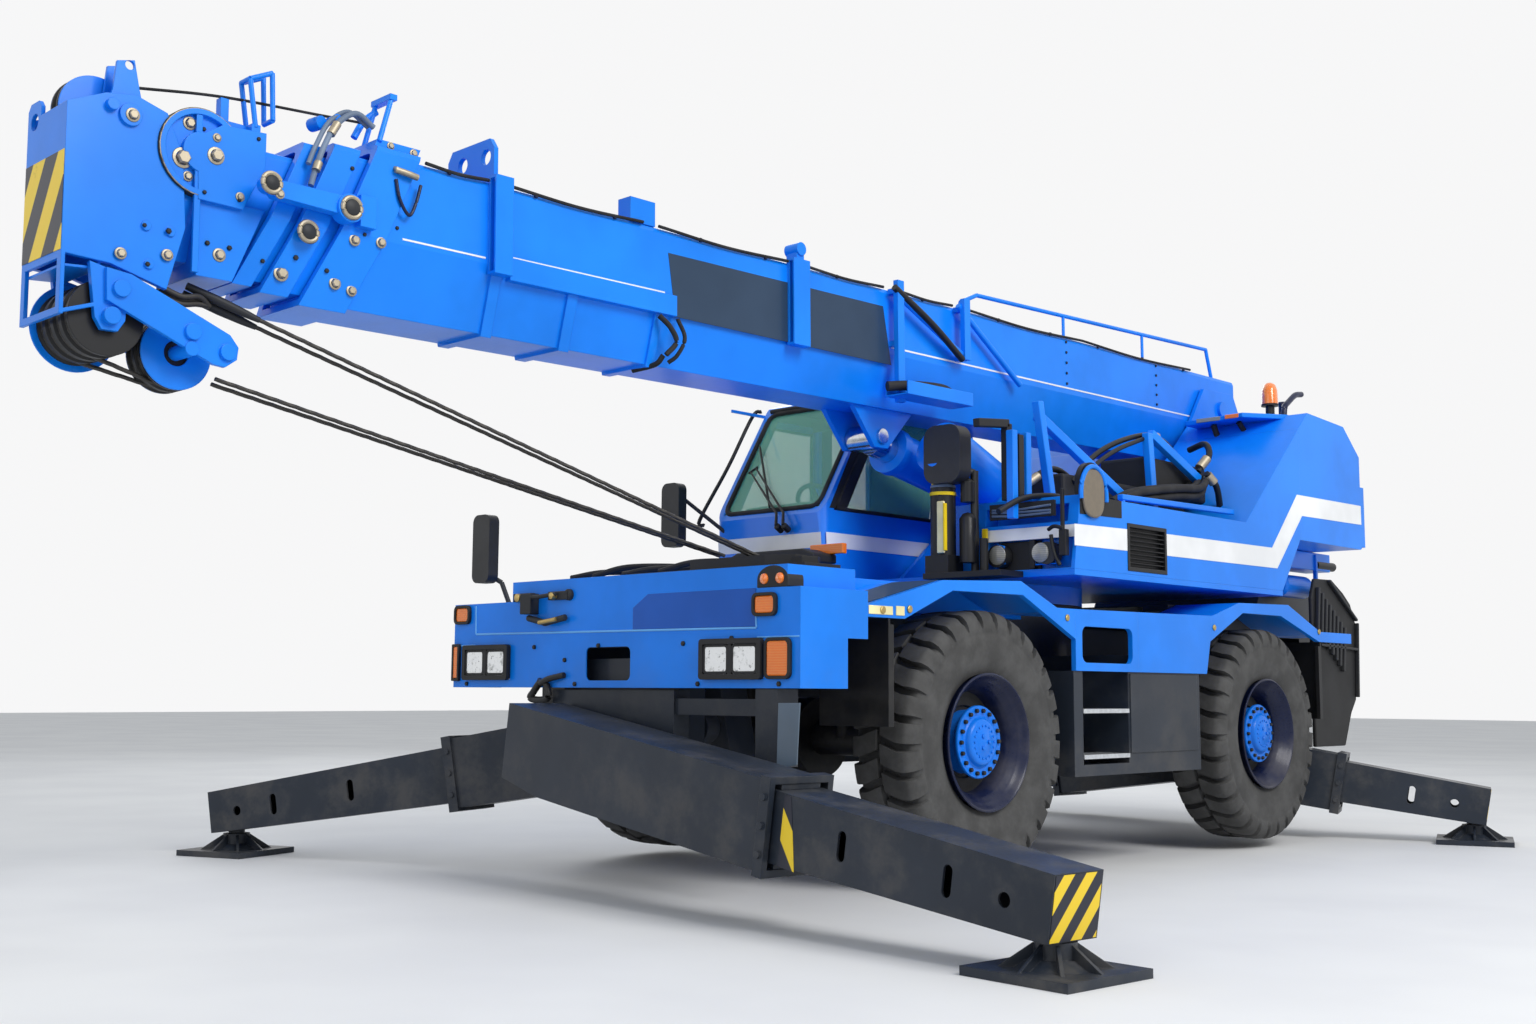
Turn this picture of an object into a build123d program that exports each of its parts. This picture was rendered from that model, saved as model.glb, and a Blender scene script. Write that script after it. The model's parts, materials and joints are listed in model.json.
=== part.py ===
from build123d import *
import math
import os

os.makedirs("parts", exist_ok=True)

# Two-axle rough-terrain mobile crane, parked on its outriggers with the boom stowed over the front.
# Millimetres. The front looks along -Y, the machine's left side is +X, +Z is up.
# The origin is the point on the ground below the slewing centre.

# ---------------------------------------------------------------- driving dimensions
FA = -1750            # front axle, from the slewing centre
WHEELBASE = 3104
RA = FA + WHEELBASE
WIDTH = 2660
HALF = WIDTH / 2
HUB_Z = 741           # wheels hang clear of the ground on the outriggers
TYRE_R = 685
TYRE_W = 385
RIM_R = 350
WHEEL_X = 1120
KINGPIN_X = 1040
KINGPIN_R = 32
SPINDLE_R = 60
FIT = 0.3             # gap round a pin, a tread or a seat between separate pieces
RUN = 6               # gap beside a piece that moves

LUG_COUNT = 22
LUG_H = 46

RAIL_IN = 300
RAIL_OUT = 440
RAIL_Z = 1160
RAIL_TOP = 1420
BUMPER_Y = FA - 1480
BUMPER_Z = 1010
BUMPER_TOP = 1245
SHOULDER_Z = 1474
DECK_Z = 1580
DECK_RIGHT = -800     # edges of the raised front deck
DECK_LEFT = 1250
FENDER_IN = 880       # inner edge of the wheel arches
FRONT_WALL_Y = FA - 1004
SHEET = 8             # wall of folded body sheet

PEDESTAL_R = 640
PEDESTAL_TOP = 1500
BEARING_TOP = 1550
UPPER_Z = 1665        # underside of the revolving superstructure
UPPER_HALF = 1250
UPPER_FRONT = FA + 910
NOTCH_Y = FA + 3487   # where the underside steps up behind the rear wheels
CW_FRONT = FA + 3804
CW_REAR = FA + 4800
CW_Z = 2070
COVER_TOP = 2130

PIVOT_Y = FA + 4500   # boom foot pin
PIVOT_Z = 3200
PIN_R = 60
BOOM_DROOP = 0.8      # degrees, head down when stowed
BOOM_HALF = 250
BOOM_TOP = 270        # from the foot pin
BOOM_CREASE = -130
BOOM_BOTTOM = -445
BOOM_SOLE = 160       # half width of the bottom plate
BOOM_WALL = 9
BOOM_NOSE = -7707     # front end of the base section at the foot pin's height
BOOM_TAIL = 300       # rear end of the base section
NOSE_LEAN = 0.42      # the sections' front ends lean back by this much for each millimetre up
STEP_IN = 30          # each section is this much smaller than the one round it

LUFF_BASE_Y = FA + 3300
LUFF_BASE_Z = 1985
LUFF_EYE_Y = FA + 550
LUFF_EYE_Z = 2535
BARREL_R = 135
ROD_R = 85


# ---------------------------------------------------------------- helpers
def box(x0, x1, y0, y1, z0, z1):
    return Pos((x0 + x1) / 2, (y0 + y1) / 2, (z0 + z1) / 2) * Box(abs(x1 - x0), abs(y1 - y0), abs(z1 - z0))


def prism_x(points, x0, x1):
    """A (y, z) outline carried along X."""
    face = Plane((x0, 0, 0), x_dir=(0, 1, 0), z_dir=(1, 0, 0)) * Polygon(*points, align=None)
    return extrude(face, amount=x1 - x0, dir=(1, 0, 0))


def prism_y(points, y0, y1):
    """An (x, z) outline carried along Y."""
    face = Plane((0, y1, 0), x_dir=(1, 0, 0), z_dir=(0, -1, 0)) * Polygon(*points, align=None)
    return extrude(face, amount=y1 - y0, dir=(0, -1, 0))


def prism_z(points, z0, z1):
    """An (x, y) outline carried along Z."""
    face = Plane((0, 0, z0), x_dir=(1, 0, 0), z_dir=(0, 0, 1)) * Polygon(*points, align=None)
    return extrude(face, amount=z1 - z0, dir=(0, 0, 1))


def rod(start, end, radius):
    """A round bar from one point to another."""
    a = Vector(*start)
    b = Vector(*end)
    face = Plane(a, z_dir=b - a) * Circle(radius)
    return extrude(face, amount=(b - a).length)


def disc_x(y, z, radius, x0, x1):
    return rod((x0, y, z), (x1, y, z), radius)


def ring_x(y, z, outer, inner, x0, x1):
    return disc_x(y, z, outer, x0, x1) - disc_x(y, z, inner, x0 - 1, x1 + 1)


def axle_y(points):
    """Outline points given from the front axle, moved to the slewing centre."""
    return [(FA + y, z) for y, z in points]


def mirrored(shape):
    return mirror(shape, about=Plane.YZ)


def both(shape):
    return [shape, mirrored(shape)]


def solids(*shapes):
    """Everything in a flat list of separate solids."""
    found = []
    for shape in shapes:
        if isinstance(shape, (list, tuple)):
            found += solids(*shape)
        else:
            found += list(shape.solids())
    return found


def save(name, *shapes):
    bodies = solids(*shapes)
    part = bodies[0] if len(bodies) == 1 else Compound(children=bodies)
    export_step(part, f"parts/{name}.step")


def joined(first, *rest):
    for other in rest:
        first = first + other
    return first


# ---------------------------------------------------------------- outriggers
# name: foot x, foot y from the nearer axle, plan direction of the outward end in degrees, droop in degrees,
# foot to collar, length of the outer box, side of the trunnion (-1 towards the rear of local Y)
OUTRIGGERS = {
    "front_left": (2980, -1940, -5, 8.5, 1330, 2050, 1),
    "front_right": (-2900, -1920, 200, 10, 1600, 1750, 1),
    "rear_left": (2100, 1366, 20, 10, 800, 1750, 1),
    "rear_right": (-2150, 1656, 175, 8.5, 820, 2050, 1),
}
OUTER_HALF = 165      # outer box
OUTER_TOP = 190
OUTER_WALL = 14
BEAM_HALF = 138       # sliding beam
BEAM_TOP = 150
BEAM_LOW = -160
BEAM_END_LOW = -95
BEAM_WALL = 12
BEAM_TAIL = 350       # length left inside the box at full reach
REACH = 1600          # from the tail overlap to the foot at full reach
END_OVER = 90         # the beam runs on past its foot
END_TOP_Z = 372       # height of the beam's top corner at its end
HINGE_IN = 120        # hinge pin from the box's inner end
TRUNNION_R = 55
TRUNNION_LEN = 90
FOOT_HALF = 240
FOOT_T = 34


def foot_place(key):
    """The foot's x and y on the ground."""
    return OUTRIGGERS[key][0], (FA if key.startswith("front") else RA) + OUTRIGGERS[key][1]


def outrigger_frame(key):
    """Where one outrigger's own axes stand: X out along the box from its hinge pin."""
    plan, droop, reach, box_len = OUTRIGGERS[key][2:6]
    foot_x, foot_y = foot_place(key)
    flat = reach + box_len - HINGE_IN
    tilt = math.radians(droop)
    run = (flat + END_OVER) / math.cos(tilt)
    hinge_z = END_TOP_Z + math.sin(tilt) * run - math.cos(tilt) * BEAM_TOP
    turn = math.radians(plan)
    hinge = (foot_x - flat * math.cos(turn), foot_y - flat * math.sin(turn), hinge_z)
    return Pos(*hinge) * Rot(0, 0, plan) * Rot(0, droop, 0), hinge, flat / math.cos(tilt)


def outrigger_box(key):
    frame, hinge, span = outrigger_frame(key)
    box_len, side = OUTRIGGERS[key][5], OUTRIGGERS[key][6]
    x0, x1 = -HINGE_IN, box_len - HINGE_IN
    bend = x0 + 330
    outer = prism_y([(x0, -190), (bend, -225), (x1, -195), (x1, OUTER_TOP), (x0, OUTER_TOP)], -OUTER_HALF, OUTER_HALF)
    inner = box(x0 + 30, x1 + 1, -OUTER_HALF + OUTER_WALL, OUTER_HALF - OUTER_WALL, -181, OUTER_TOP - OUTER_WALL)
    collar = box(x1 - 60, x1, -OUTER_HALF - 16, OUTER_HALF + 16, -214, OUTER_TOP + 16)
    body = (outer + collar) - inner
    pads = []
    for z0, z1 in ((BEAM_TOP + FIT, OUTER_TOP - OUTER_WALL), (-181, BEAM_LOW - FIT)):
        pads.append(box(x1 - 55, x1 - 5, -110, 110, z0, z1))
    y0 = side * OUTER_HALF
    pin = rod((0, y0, 0), (0, y0 + side * TRUNNION_LEN, 0), TRUNNION_R)
    body = joined(body, pin, *pads)
    for way in (-1, 1):
        bolt_y = way * (OUTER_HALF + 16)
        for bolt_z in (-120, 0, 120):
            body += rod((x1 - 30, bolt_y, bolt_z), (x1 - 30, bolt_y + way * 12, bolt_z), 16)
    return frame * body


def outrigger_beam(key):
    """Sliding beam with its end plate, jack leg and foot."""
    frame, hinge, span = outrigger_frame(key)
    foot_x, foot_y = foot_place(key)
    plan = OUTRIGGERS[key][2]
    end = span + END_OVER
    tail = span - REACH - BEAM_TAIL
    taper = span - REACH + 20
    outline = [(tail, BEAM_LOW), (taper, BEAM_LOW), (end, BEAM_END_LOW), (end, BEAM_TOP), (tail, BEAM_TOP)]
    body = prism_y(outline, -BEAM_HALF, BEAM_HALF)
    w = BEAM_WALL
    hollow = [(tail - 1, BEAM_LOW + w), (taper, BEAM_LOW + w), (end - 14, BEAM_END_LOW + w), (end - 14, BEAM_TOP - w),
              (tail - 1, BEAM_TOP - w)]
    body -= prism_y(hollow, -BEAM_HALF + w, BEAM_HALF - w)
    for back, half_len in ((960, 38), (395, 38)):
        slot = SlotCenterToCenter(2 * half_len, 46, rotation=90)
        cut = extrude(Plane((span - back, BEAM_HALF + 5, 10), x_dir=(1, 0, 0), z_dir=(0, -1, 0)) * slot,
                      amount=2 * BEAM_HALF + 10)
        body -= cut
    body -= rod((span - 120, -BEAM_HALF - 5, 10), (span - 120, BEAM_HALF + 5, 10), 28)
    body = frame * body
    # the jack leg stands upright, so it is made in the world's axes
    post_top = END_TOP_Z - 150
    leg = Pos(foot_x, foot_y, 0) * (Pos(0, 0, (post_top + 90) / 2) * Cylinder(48, post_top - 90))
    socket = Pos(foot_x, foot_y, 0) * (Pos(0, 0, 96) * Cylinder(78, 60))
    plate = Pos(foot_x, foot_y, 0) * Rot(0, 0, plan) * (Pos(0, 0, FOOT_T / 2) * Box(2 * FOOT_HALF, 2 * FOOT_HALF, FOOT_T))
    dome = Pos(foot_x, foot_y, FOOT_T) * (Pos(0, 0, 16) * Cone(150, 90, 32))
    ribs = []
    for turn in range(0, 360, 45):
        rib = prism_y([(60, FOOT_T), (205, FOOT_T), (80, 118), (60, 118)], -7, 7)
        ribs.append(Pos(foot_x, foot_y, 0) * Rot(0, 0, plan + turn) * rib)
    return joined(body, leg, socket, plate, dome, *ribs)


for key in OUTRIGGERS:
    save(f"outrigger_box_{key}", outrigger_box(key))
    save(f"outrigger_beam_{key}", outrigger_beam(key))


# ---------------------------------------------------------------- carrier frame
def trunnion_boss(key, wall_y):
    """A bored boss for one outrigger's trunnion, carried back to the cross box at wall_y."""
    frame, hinge, span = outrigger_frame(key)
    side = OUTRIGGERS[key][6]
    y0 = side * (OUTER_HALF + RUN)
    y1 = side * (OUTER_HALF + TRUNNION_LEN + 60)
    boss = frame * rod((0, y0, 0), (0, y1, 0), TRUNNION_R + 35)
    bore = frame * rod((0, y0 - side, 0), (0, side * (OUTER_HALF + TRUNNION_LEN + 2), 0), TRUNNION_R + FIT)
    x, _, z = hinge
    end = (frame * Pos(0, y1, 0)).position
    web = box(end.X - 90, end.X + 90, min(end.Y, wall_y), max(end.Y, wall_y), z - 90, RAIL_Z)
    return boss, bore, web


def chassis_frame():
    rail_front = BUMPER_Y + SHEET
    rail_rear = RA + 1750
    rail = box(RAIL_IN, RAIL_OUT, rail_front, rail_rear, RAIL_Z, RAIL_TOP)
    frame = rail + mirrored(rail)
    for y0, y1 in ((rail_front, rail_front + 120), (FA - 560, FA - 440), (FA + 440, FA + 560), (RA - 560, RA - 440),
                   (RA + 440, RA + 560), (rail_rear - 120, rail_rear)):
        frame += box(-RAIL_IN, RAIL_IN, y0, y1, RAIL_Z + 55, RAIL_TOP - 20)
    pedestal = Pos(0, 0, (RAIL_Z + PEDESTAL_TOP) / 2) * Cylinder(PEDESTAL_R, PEDESTAL_TOP - RAIL_Z)
    pedestal -= Pos(0, 0, (RAIL_Z + PEDESTAL_TOP) / 2) * Cylinder(PEDESTAL_R - 160, PEDESTAL_TOP - RAIL_Z + 2)
    frame += pedestal
    # outrigger arms for the side panels and boxes
    for y in (FA + 1410, FA + 1900):
        arm = box(RAIL_OUT - 10, HALF - 30, y, y + 90, 1120, 1220)
        frame = frame + arm + mirrored(arm)
    return frame


JACK_GUARD = (1040, 1180, 650)


def outrigger_subframes():
    """Cross boxes below the rails that carry the trunnions, and the jack guards beside them."""
    front = box(-470, 470, FA - 1455, FA - 1350, 620, BUMPER_Z - 10) + box(-RAIL_OUT, RAIL_OUT, FA - 1400, FA - 1350, 900, RAIL_Z)
    front += box(JACK_GUARD[0], JACK_GUARD[1], FA - 1470, FA - 1330, JACK_GUARD[2], BUMPER_Z - 2)
    front += box(460, JACK_GUARD[0] + 5, FA - 1440, FA - 1370, 880, 960)
    rear = box(-470, 690, RA + 1046, RA + 1146, 520, 1000) + box(-RAIL_OUT, RAIL_OUT, RA + 1046, RA + 1096, 900, RAIL_Z)
    bores = []
    for key, wall_y in (("front_left", FA - 1400), ("front_right", FA - 1400), ("rear_left", RA + 1096),
                        ("rear_right", RA + 1096)):
        boss, bore, web = trunnion_boss(key, wall_y)
        bores.append(bore)
        if key.startswith("front"):
            front = front + boss + web
        else:
            rear = rear + boss + web
    for bore in bores:
        front -= bore
        rear -= bore
    return front, rear


frame = chassis_frame()
front_sub, rear_sub = outrigger_subframes()
save("chassis_frame", frame)
save("front_subframe", front_sub)
save("rear_subframe", rear_sub)


# ---------------------------------------------------------------- front body, deck and bumper
def front_body():
    """Folded-sheet bumper, corner shoulders and the raised deck behind them."""
    y0 = BUMPER_Y
    w = SHEET
    bumper = box(-HALF, HALF, y0, y0 + 330, BUMPER_Z, BUMPER_TOP)
    shoulder = box(-HALF, HALF, y0, FRONT_WALL_Y, BUMPER_TOP, SHOULDER_Z)
    deck = box(DECK_RIGHT, DECK_LEFT, y0, FRONT_WALL_Y, SHOULDER_Z, DECK_Z)
    rear_deck = box(-FENDER_IN, FENDER_IN, FRONT_WALL_Y, FA + 910, RAIL_TOP, DECK_Z)
    body = bumper + shoulder + deck + rear_deck
    body -= box(-HALF + w, HALF - w, y0 + w, y0 + 331, BUMPER_Z - 1, BUMPER_TOP + 1)
    body -= box(-HALF + w, HALF - w, y0 + w, FRONT_WALL_Y + 1, BUMPER_TOP, SHOULDER_Z - w)
    body -= box(DECK_RIGHT + w, DECK_LEFT - w, y0 + w, FRONT_WALL_Y + 1, SHOULDER_Z - w - 1, DECK_Z - w)
    body -= box(-FENDER_IN + w, FENDER_IN - w, FRONT_WALL_Y - w - 1, FA + 902, RAIL_TOP - 1, DECK_Z - w)
    body -= Pos(0, 0, DECK_Z) * Cylinder(TURN_CLEAR_R, 400)
    # ribs stand on the frame rails
    for y in (BUMPER_Y + 260, FA - 700, FA + 200):
        body += box(-780, 780, y, y + w, RAIL_TOP, DECK_Z - w)
    # centre window and headlamp cut-outs
    window = extrude(Plane((0, y0 - 5, 1132), x_dir=(1, 0, 0), z_dir=(0, 1, 0)) * RectangleRounded(344, 170, 30), amount=30)
    body -= window
    for x in LAMP_XS:
        body -= box(x - LAMP_HALF, x + LAMP_HALF, y0 - 5, y0 + 30, LAMP_Z0, LAMP_Z1)
    return body


TURN_CLEAR_R = 745
LAMP_XS = (-1010, 900)
LAMP_HALF = 200
LAMP_Z0 = 1055
LAMP_Z1 = 1238
save("front_body", front_body())


def headlamps():
    """Twin square lamps in one bezel, two bezels."""
    found = []
    for x in LAMP_XS:
        x0, x1 = x - LAMP_HALF + FIT, x + LAMP_HALF - FIT
        unit = box(x0, x1, BUMPER_Y - 12, BUMPER_Y + 90, LAMP_Z0 + FIT, LAMP_Z1 - FIT)
        for lamp_x in (x - 95, x + 95):
            lens = Plane((lamp_x, BUMPER_Y - 20, (LAMP_Z0 + LAMP_Z1) / 2), x_dir=(1, 0, 0), z_dir=(0, 1, 0))
            unit -= extrude(lens * RectangleRounded(150, 130, 14), amount=24)
            unit += extrude(Plane((lamp_x, BUMPER_Y - 8, (LAMP_Z0 + LAMP_Z1) / 2), x_dir=(1, 0, 0), z_dir=(0, 1, 0))
                            * RectangleRounded(136, 116, 12), amount=20)
        found.append(unit)
    return found


def marker_lamps():
    """Orange turn lamps on the bumper's corners and smaller ones on the shoulders above."""
    found = []
    for side in (-1, 1):
        low = (-1326, -1252) if side < 0 else (1180, 1318)
        found.append(box(*low, BUMPER_Y - 22, BUMPER_Y, 1075, 1225))
        found.append(box(*sorted((side * 1240, side * 1318)), BUMPER_Y - 18, BUMPER_Y, 1335, 1425))
    return found


save("headlamps", headlamps())
save("marker_lamps", marker_lamps())


# ---------------------------------------------------------------- wheel arches, side panels, boxes, mudguards
FRONT_ARCH = [(-1004, 1352), (-1004, 1412), (-418, 1558), (263, 1590), (603, 1462), (785, 1462), (785, 1295), (280, 1516),
              (-336, 1509), (-724, 1352)]
REAR_ARCH = [(2340, 1483), (2699, 1580), (3391, 1597), (3868, 1430), (4372, 1430), (4372, 1360), (3850, 1360), (3283, 1518),
             (2749, 1517), (2310, 1322)]
PANEL_SEAM = FA + 1451    # the skirt's two sheets meet here
PANEL = [(785, 1120), (785, 1462), (2340, 1483), (2310, 1322), (2257, 1120)]


def fenders():
    """Arch plates with a deep turned lip along the outside."""
    found = []
    for arch in (FRONT_ARCH, REAR_ARCH):
        lip = prism_x(axle_y(arch), HALF - 34, HALF)
        plate = prism_x(axle_y(arch), FENDER_IN, HALF - 34)
        lowered = [(y, z - 22) for y, z in arch]
        plate -= prism_x(axle_y([(y, z) for y, z in lowered]), FENDER_IN - 1, HALF - 33)
        pieces = plate.solids().filter_by(lambda s: s.volume > 1e6)
        top = pieces.sort_by(Axis.Z)[-1]
        found += both(lip + top)
    return found


def side_panels():
    """Skirt between the wheels with its shelf; its front end, round the step hole, is a sheet of its own."""
    panel = prism_x(axle_y(PANEL), HALF - 30, HALF)
    hole = Plane((HALF + 5, FA + 1118, 1268), x_dir=(0, 1, 0), z_dir=(-1, 0, 0)) * RectangleRounded(534, 203, 45)
    panel -= extrude(hole, amount=60)
    shelf = prism_x(axle_y([(785, 1440), (785, 1462), (2340, 1483), (2335, 1461)]), FENDER_IN, HALF - 30)
    surround = panel & box(HALF - 40, HALF + 10, FA + 700, PANEL_SEAM, 1000, 1600)
    return both(panel - surround + shelf), both(surround)


def side_boxes():
    """Lower side boxes, with a recess for the steps and a door ahead of the rear wheel."""
    y0, y1 = FA + 776, FA + 2177
    body = prism_x([(y0, 537), (y1, 537), (y1, 1119.7), (y0, 1119.7)], 780, HALF - 12)
    body -= box(960, HALF, STEP_Y0, STEP_Y1, 600, 1125)
    door = box(HALF - 12, HALF - 4, FA + 1361, FA + 2134, 656, 1109)
    return both(body + door)


STEP_Y0 = FA + 866
STEP_Y1 = FA + 1346
STEP_ZS = (655, 909, 1128)


def step_treads():
    found = []
    for z in STEP_ZS[:2]:
        tread = box(1100, HALF - 6, STEP_Y0 + FIT, STEP_Y1 - FIT, z - 24, z)
        found += both(tread)
    return found


def mudguards():
    found = []
    for y0, top in ((FA - 846, 1351.7), (RA + 766, 1359.7)):
        plate = box(FENDER_IN, HALF - 4, y0, y0 + 12, 830, top)
        lip = box(HALF - 30, HALF - 4, y0 + 12, y0 + 40, 830, top - 30) if y0 < FA else box(HALF - 30, HALF - 4, y0 - 28, y0, 830, top - 30)
        found += both(plate + lip)
    return found


save("fenders", fenders())
panels, surrounds = side_panels()
save("side_panels", panels)
save("step_surrounds", surrounds)
save("side_boxes", side_boxes())
save("step_treads", step_treads())
save("mudguards", mudguards())


# ---------------------------------------------------------------- rear deck and engine hood
def engine_hood():
    """Deck between the rear wheels, the grey hood over the engine and the rear bumper."""
    y0, y1 = FA + 2590, RA + 2010
    hood = prism_x([(y0, RAIL_TOP), (y0, DECK_Z), (FA + 4150, DECK_Z), (FA + 4350, 1900), (y1 - 120, 1900), (y1, 1760),
                    (y1, 1010), (y1 - 240, 1010), (y1 - 240, RAIL_TOP)], -700, 700)
    inner = prism_x([(y0 - 1, RAIL_TOP - 1), (y0 - 1, DECK_Z - SHEET), (FA + 4154, DECK_Z - SHEET),
                     (FA + 4354, 1900 - SHEET), (y1 - 124, 1900 - SHEET), (y1 - SHEET, 1756), (y1 - SHEET, 1005),
                     (y1 - 241, 1005), (y1 - 241, RAIL_TOP - 1)], -700 + SHEET, 700 - SHEET)
    hood -= inner
    wings = box(-FENDER_IN, FENDER_IN, y0, FA + 4372, DECK_Z - 40, DECK_Z - 0.5)
    wings -= box(-700, 700, y0 - 1, FA + 4400, DECK_Z - 60, DECK_Z + 1)
    return joined(hood, wings)


def engine():
    """The engine as one block between the rails."""
    return box(-RAIL_IN + FIT, RAIL_IN - FIT, RA + 1160, RA + 1600, 1050, RAIL_TOP + 110)


save("engine_hood", engine_hood())
save("engine", engine())


# ---------------------------------------------------------------- axles, knuckles, wheels
FORK_IN, FORK_OUT = KINGPIN_X - 80, KINGPIN_X + 40
FORK_HALF = 48
KNUCKLE_H = 128


def axle(y):
    beam = disc_x(y, HUB_Z, 98, -FORK_IN, FORK_IN)
    beam += disc_x(y, HUB_Z, 225, -150, 150)
    for side in (-1, 1):
        back = box(*sorted((side * (FORK_IN - 20), side * (FORK_IN + 14))), y - FORK_HALF, y + FORK_HALF, HUB_Z - 172, HUB_Z + 172)
        beam += back
        for way in (-1, 1):
            z0, z1 = sorted((HUB_Z + way * (KNUCKLE_H + FIT), HUB_Z + way * 172))
            jaw = box(*sorted((side * FORK_IN, side * FORK_OUT)), y - FORK_HALF, y + FORK_HALF, z0, z1)
            beam += jaw
        beam -= Pos(side * KINGPIN_X, y, HUB_Z) * Cylinder(KINGPIN_R + FIT, 500)
    # suspension struts up to the rails
    for side in (-1, 1):
        strut_x = side * (RAIL_IN + RAIL_OUT) / 2
        strut = Pos(strut_x, y - 60, (HUB_Z + RAIL_Z) / 2) * Cylinder(48, RAIL_Z - HUB_Z - FIT)
        beam += strut
    return beam


def knuckle(side, y):
    post = Pos(side * KINGPIN_X, y, HUB_Z) * Cylinder(58, 2 * KNUCKLE_H)
    post += Pos(side * KINGPIN_X, y, HUB_Z) * Cylinder(KINGPIN_R, 2 * 172)
    spindle = disc_x(y, HUB_Z, SPINDLE_R, *sorted((side * KINGPIN_X, side * (WHEEL_X + 88))))
    return post + spindle


def wheel_profile(points, side, y):
    """(offset outwards from the wheel's centre, radius) outline turned about the axle."""
    face = Plane((side * WHEEL_X, y, HUB_Z), x_dir=(side, 0, 0), z_dir=(0, side, 0)) * Polygon(*points, align=None)
    return revolve(face, axis=Axis((0, y, HUB_Z), (1, 0, 0)))


RIM = [(-186, 350), (-190, 384), (-178, 384), (-172, 350), (172, 350), (178, 384), (190, 384), (186, 334), (58, 322), (52, 240),
       (52, 168), (118, 165), (126, 150), (126, 92), (152, 88), (156, 76), (156, 0.01), (96, 0.01), (96, SPINDLE_R + FIT),
       (-15, SPINDLE_R + FIT), (-15, 165), (28, 168), (28, 310), (10, 322), (-172, 332)]
TYRE = [(-150, RIM_R + FIT), (-170, 390), (-192, 430), (-192, 560), (-182, 625), (-150, TYRE_R - LUG_H), (150, TYRE_R - LUG_H),
        (182, 625), (192, 560), (192, 430), (170, 390), (150, RIM_R + FIT)]
LUG = [(12, TYRE_R - LUG_H - 5), (12, TYRE_R), (150, TYRE_R - 3), (186, TYRE_R - 28), (194, 585), (186, 585), (176, 625),
       (150, TYRE_R - LUG_H - 5)]


def rim(side, y):
    return wheel_profile(RIM, side, y)


def tyre(side, y):
    body = wheel_profile(TYRE, side, y)
    pitch = 360 / LUG_COUNT
    for way, phase in ((1, 0), (-1, 0.5)):
        outline = [(way * x, r) for x, r in LUG]
        face = Plane((0, 52, 0), x_dir=(1, 0, 0), z_dir=(0, -1, 0)) * Polygon(*outline, align=None)
        block = extrude(face, amount=104)
        for i in range(LUG_COUNT):
            body += Pos(side * WHEEL_X, y, HUB_Z) * Rot((i + phase) * pitch, 0, 0) * block
    return body


WHEELS = {"front_left": (1, FA), "front_right": (-1, FA), "rear_left": (1, RA), "rear_right": (-1, RA)}
save("front_axle", axle(FA))
save("rear_axle", axle(RA))
tyre_left = tyre(1, 0)
for key, (side, y) in WHEELS.items():
    save(f"knuckle_{key}", knuckle(side, y))
    save(f"rim_{key}", rim(side, y))
    moved = Pos(0, y, 0) * (tyre_left if side > 0 else mirrored(tyre_left))
    save(f"tyre_{key}", moved)


# ---------------------------------------------------------------- slewing bearing and superstructure frame
def slewing_bearing():
    z = (PEDESTAL_TOP + BEARING_TOP) / 2
    return Pos(0, 0, z) * (Cylinder(PEDESTAL_R, BEARING_TOP - PEDESTAL_TOP) - Cylinder(PEDESTAL_R - 140, 200))


CHEEK_IN = BOOM_HALF + 14
CHEEK_OUT = CHEEK_IN + 30
CHEEK = [(FA + 1200, 1700), (FA + 1750, 2120), (FA + 3600, 2330), (FA + 4040, 3060), (FA + 4240, 3330), (FA + 4700, 3345),
         (FA + 4790, 3200), (FA + 4790, 2965), (FA + 4100, 2300), (FA + 3487, 1700)]


def turntable_frame():
    """Turntable, floor plate, two cheeks that carry the foot pin, and the cylinder's base lugs."""
    drum = Pos(0, 0, (BEARING_TOP + FIT + UPPER_Z) / 2) * Cylinder(PEDESTAL_R, UPPER_Z - BEARING_TOP - FIT)
    floor = box(-UPPER_HALF, UPPER_HALF, UPPER_FRONT, NOTCH_Y, UPPER_Z, UPPER_Z + 35)
    floor += box(-UPPER_HALF, -340, FA + 560, UPPER_FRONT, UPPER_Z, UPPER_Z + 35)
    body = drum + floor
    cheek = prism_x(CHEEK, CHEEK_IN, CHEEK_OUT)
    body = body + cheek + mirrored(cheek)
    body -= disc_x(PIVOT_Y, PIVOT_Z, PIN_R + FIT, -CHEEK_OUT - 5, CHEEK_OUT + 5)
    lug = prism_x([(LUFF_BASE_Y - 190, 1700), (LUFF_BASE_Y - 90, LUFF_BASE_Z + 90), (LUFF_BASE_Y + 90, LUFF_BASE_Z + 90),
                   (LUFF_BASE_Y + 170, 1700)], 90, 130)
    body = body + lug + mirrored(lug)
    body -= disc_x(LUFF_BASE_Y, LUFF_BASE_Z, 50 + FIT, -200, 200)
    return body


def machinery_cover(side):
    """Housing beside the boom: level front half, sloping up to the counterweight at the rear."""
    outline = [(UPPER_FRONT, UPPER_Z + 35.3), (NOTCH_Y, UPPER_Z + 35.3), (NOTCH_Y + 290, CW_Z), (CW_FRONT - 0.3, CW_Z),
               (CW_FRONT - 0.3, 2863), (FA + 2982, COVER_TOP), (FA + 978, COVER_TOP)]
    inner_x = CHEEK_OUT + FIT
    body = prism_x(outline, inner_x, UPPER_HALF)
    if side < 0:
        body = mirrored(body)
        body -= box(-1400, -inner_x + 1, FA, FA + CAB_REAR + 60, 1600, 3300)
    return body


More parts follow.
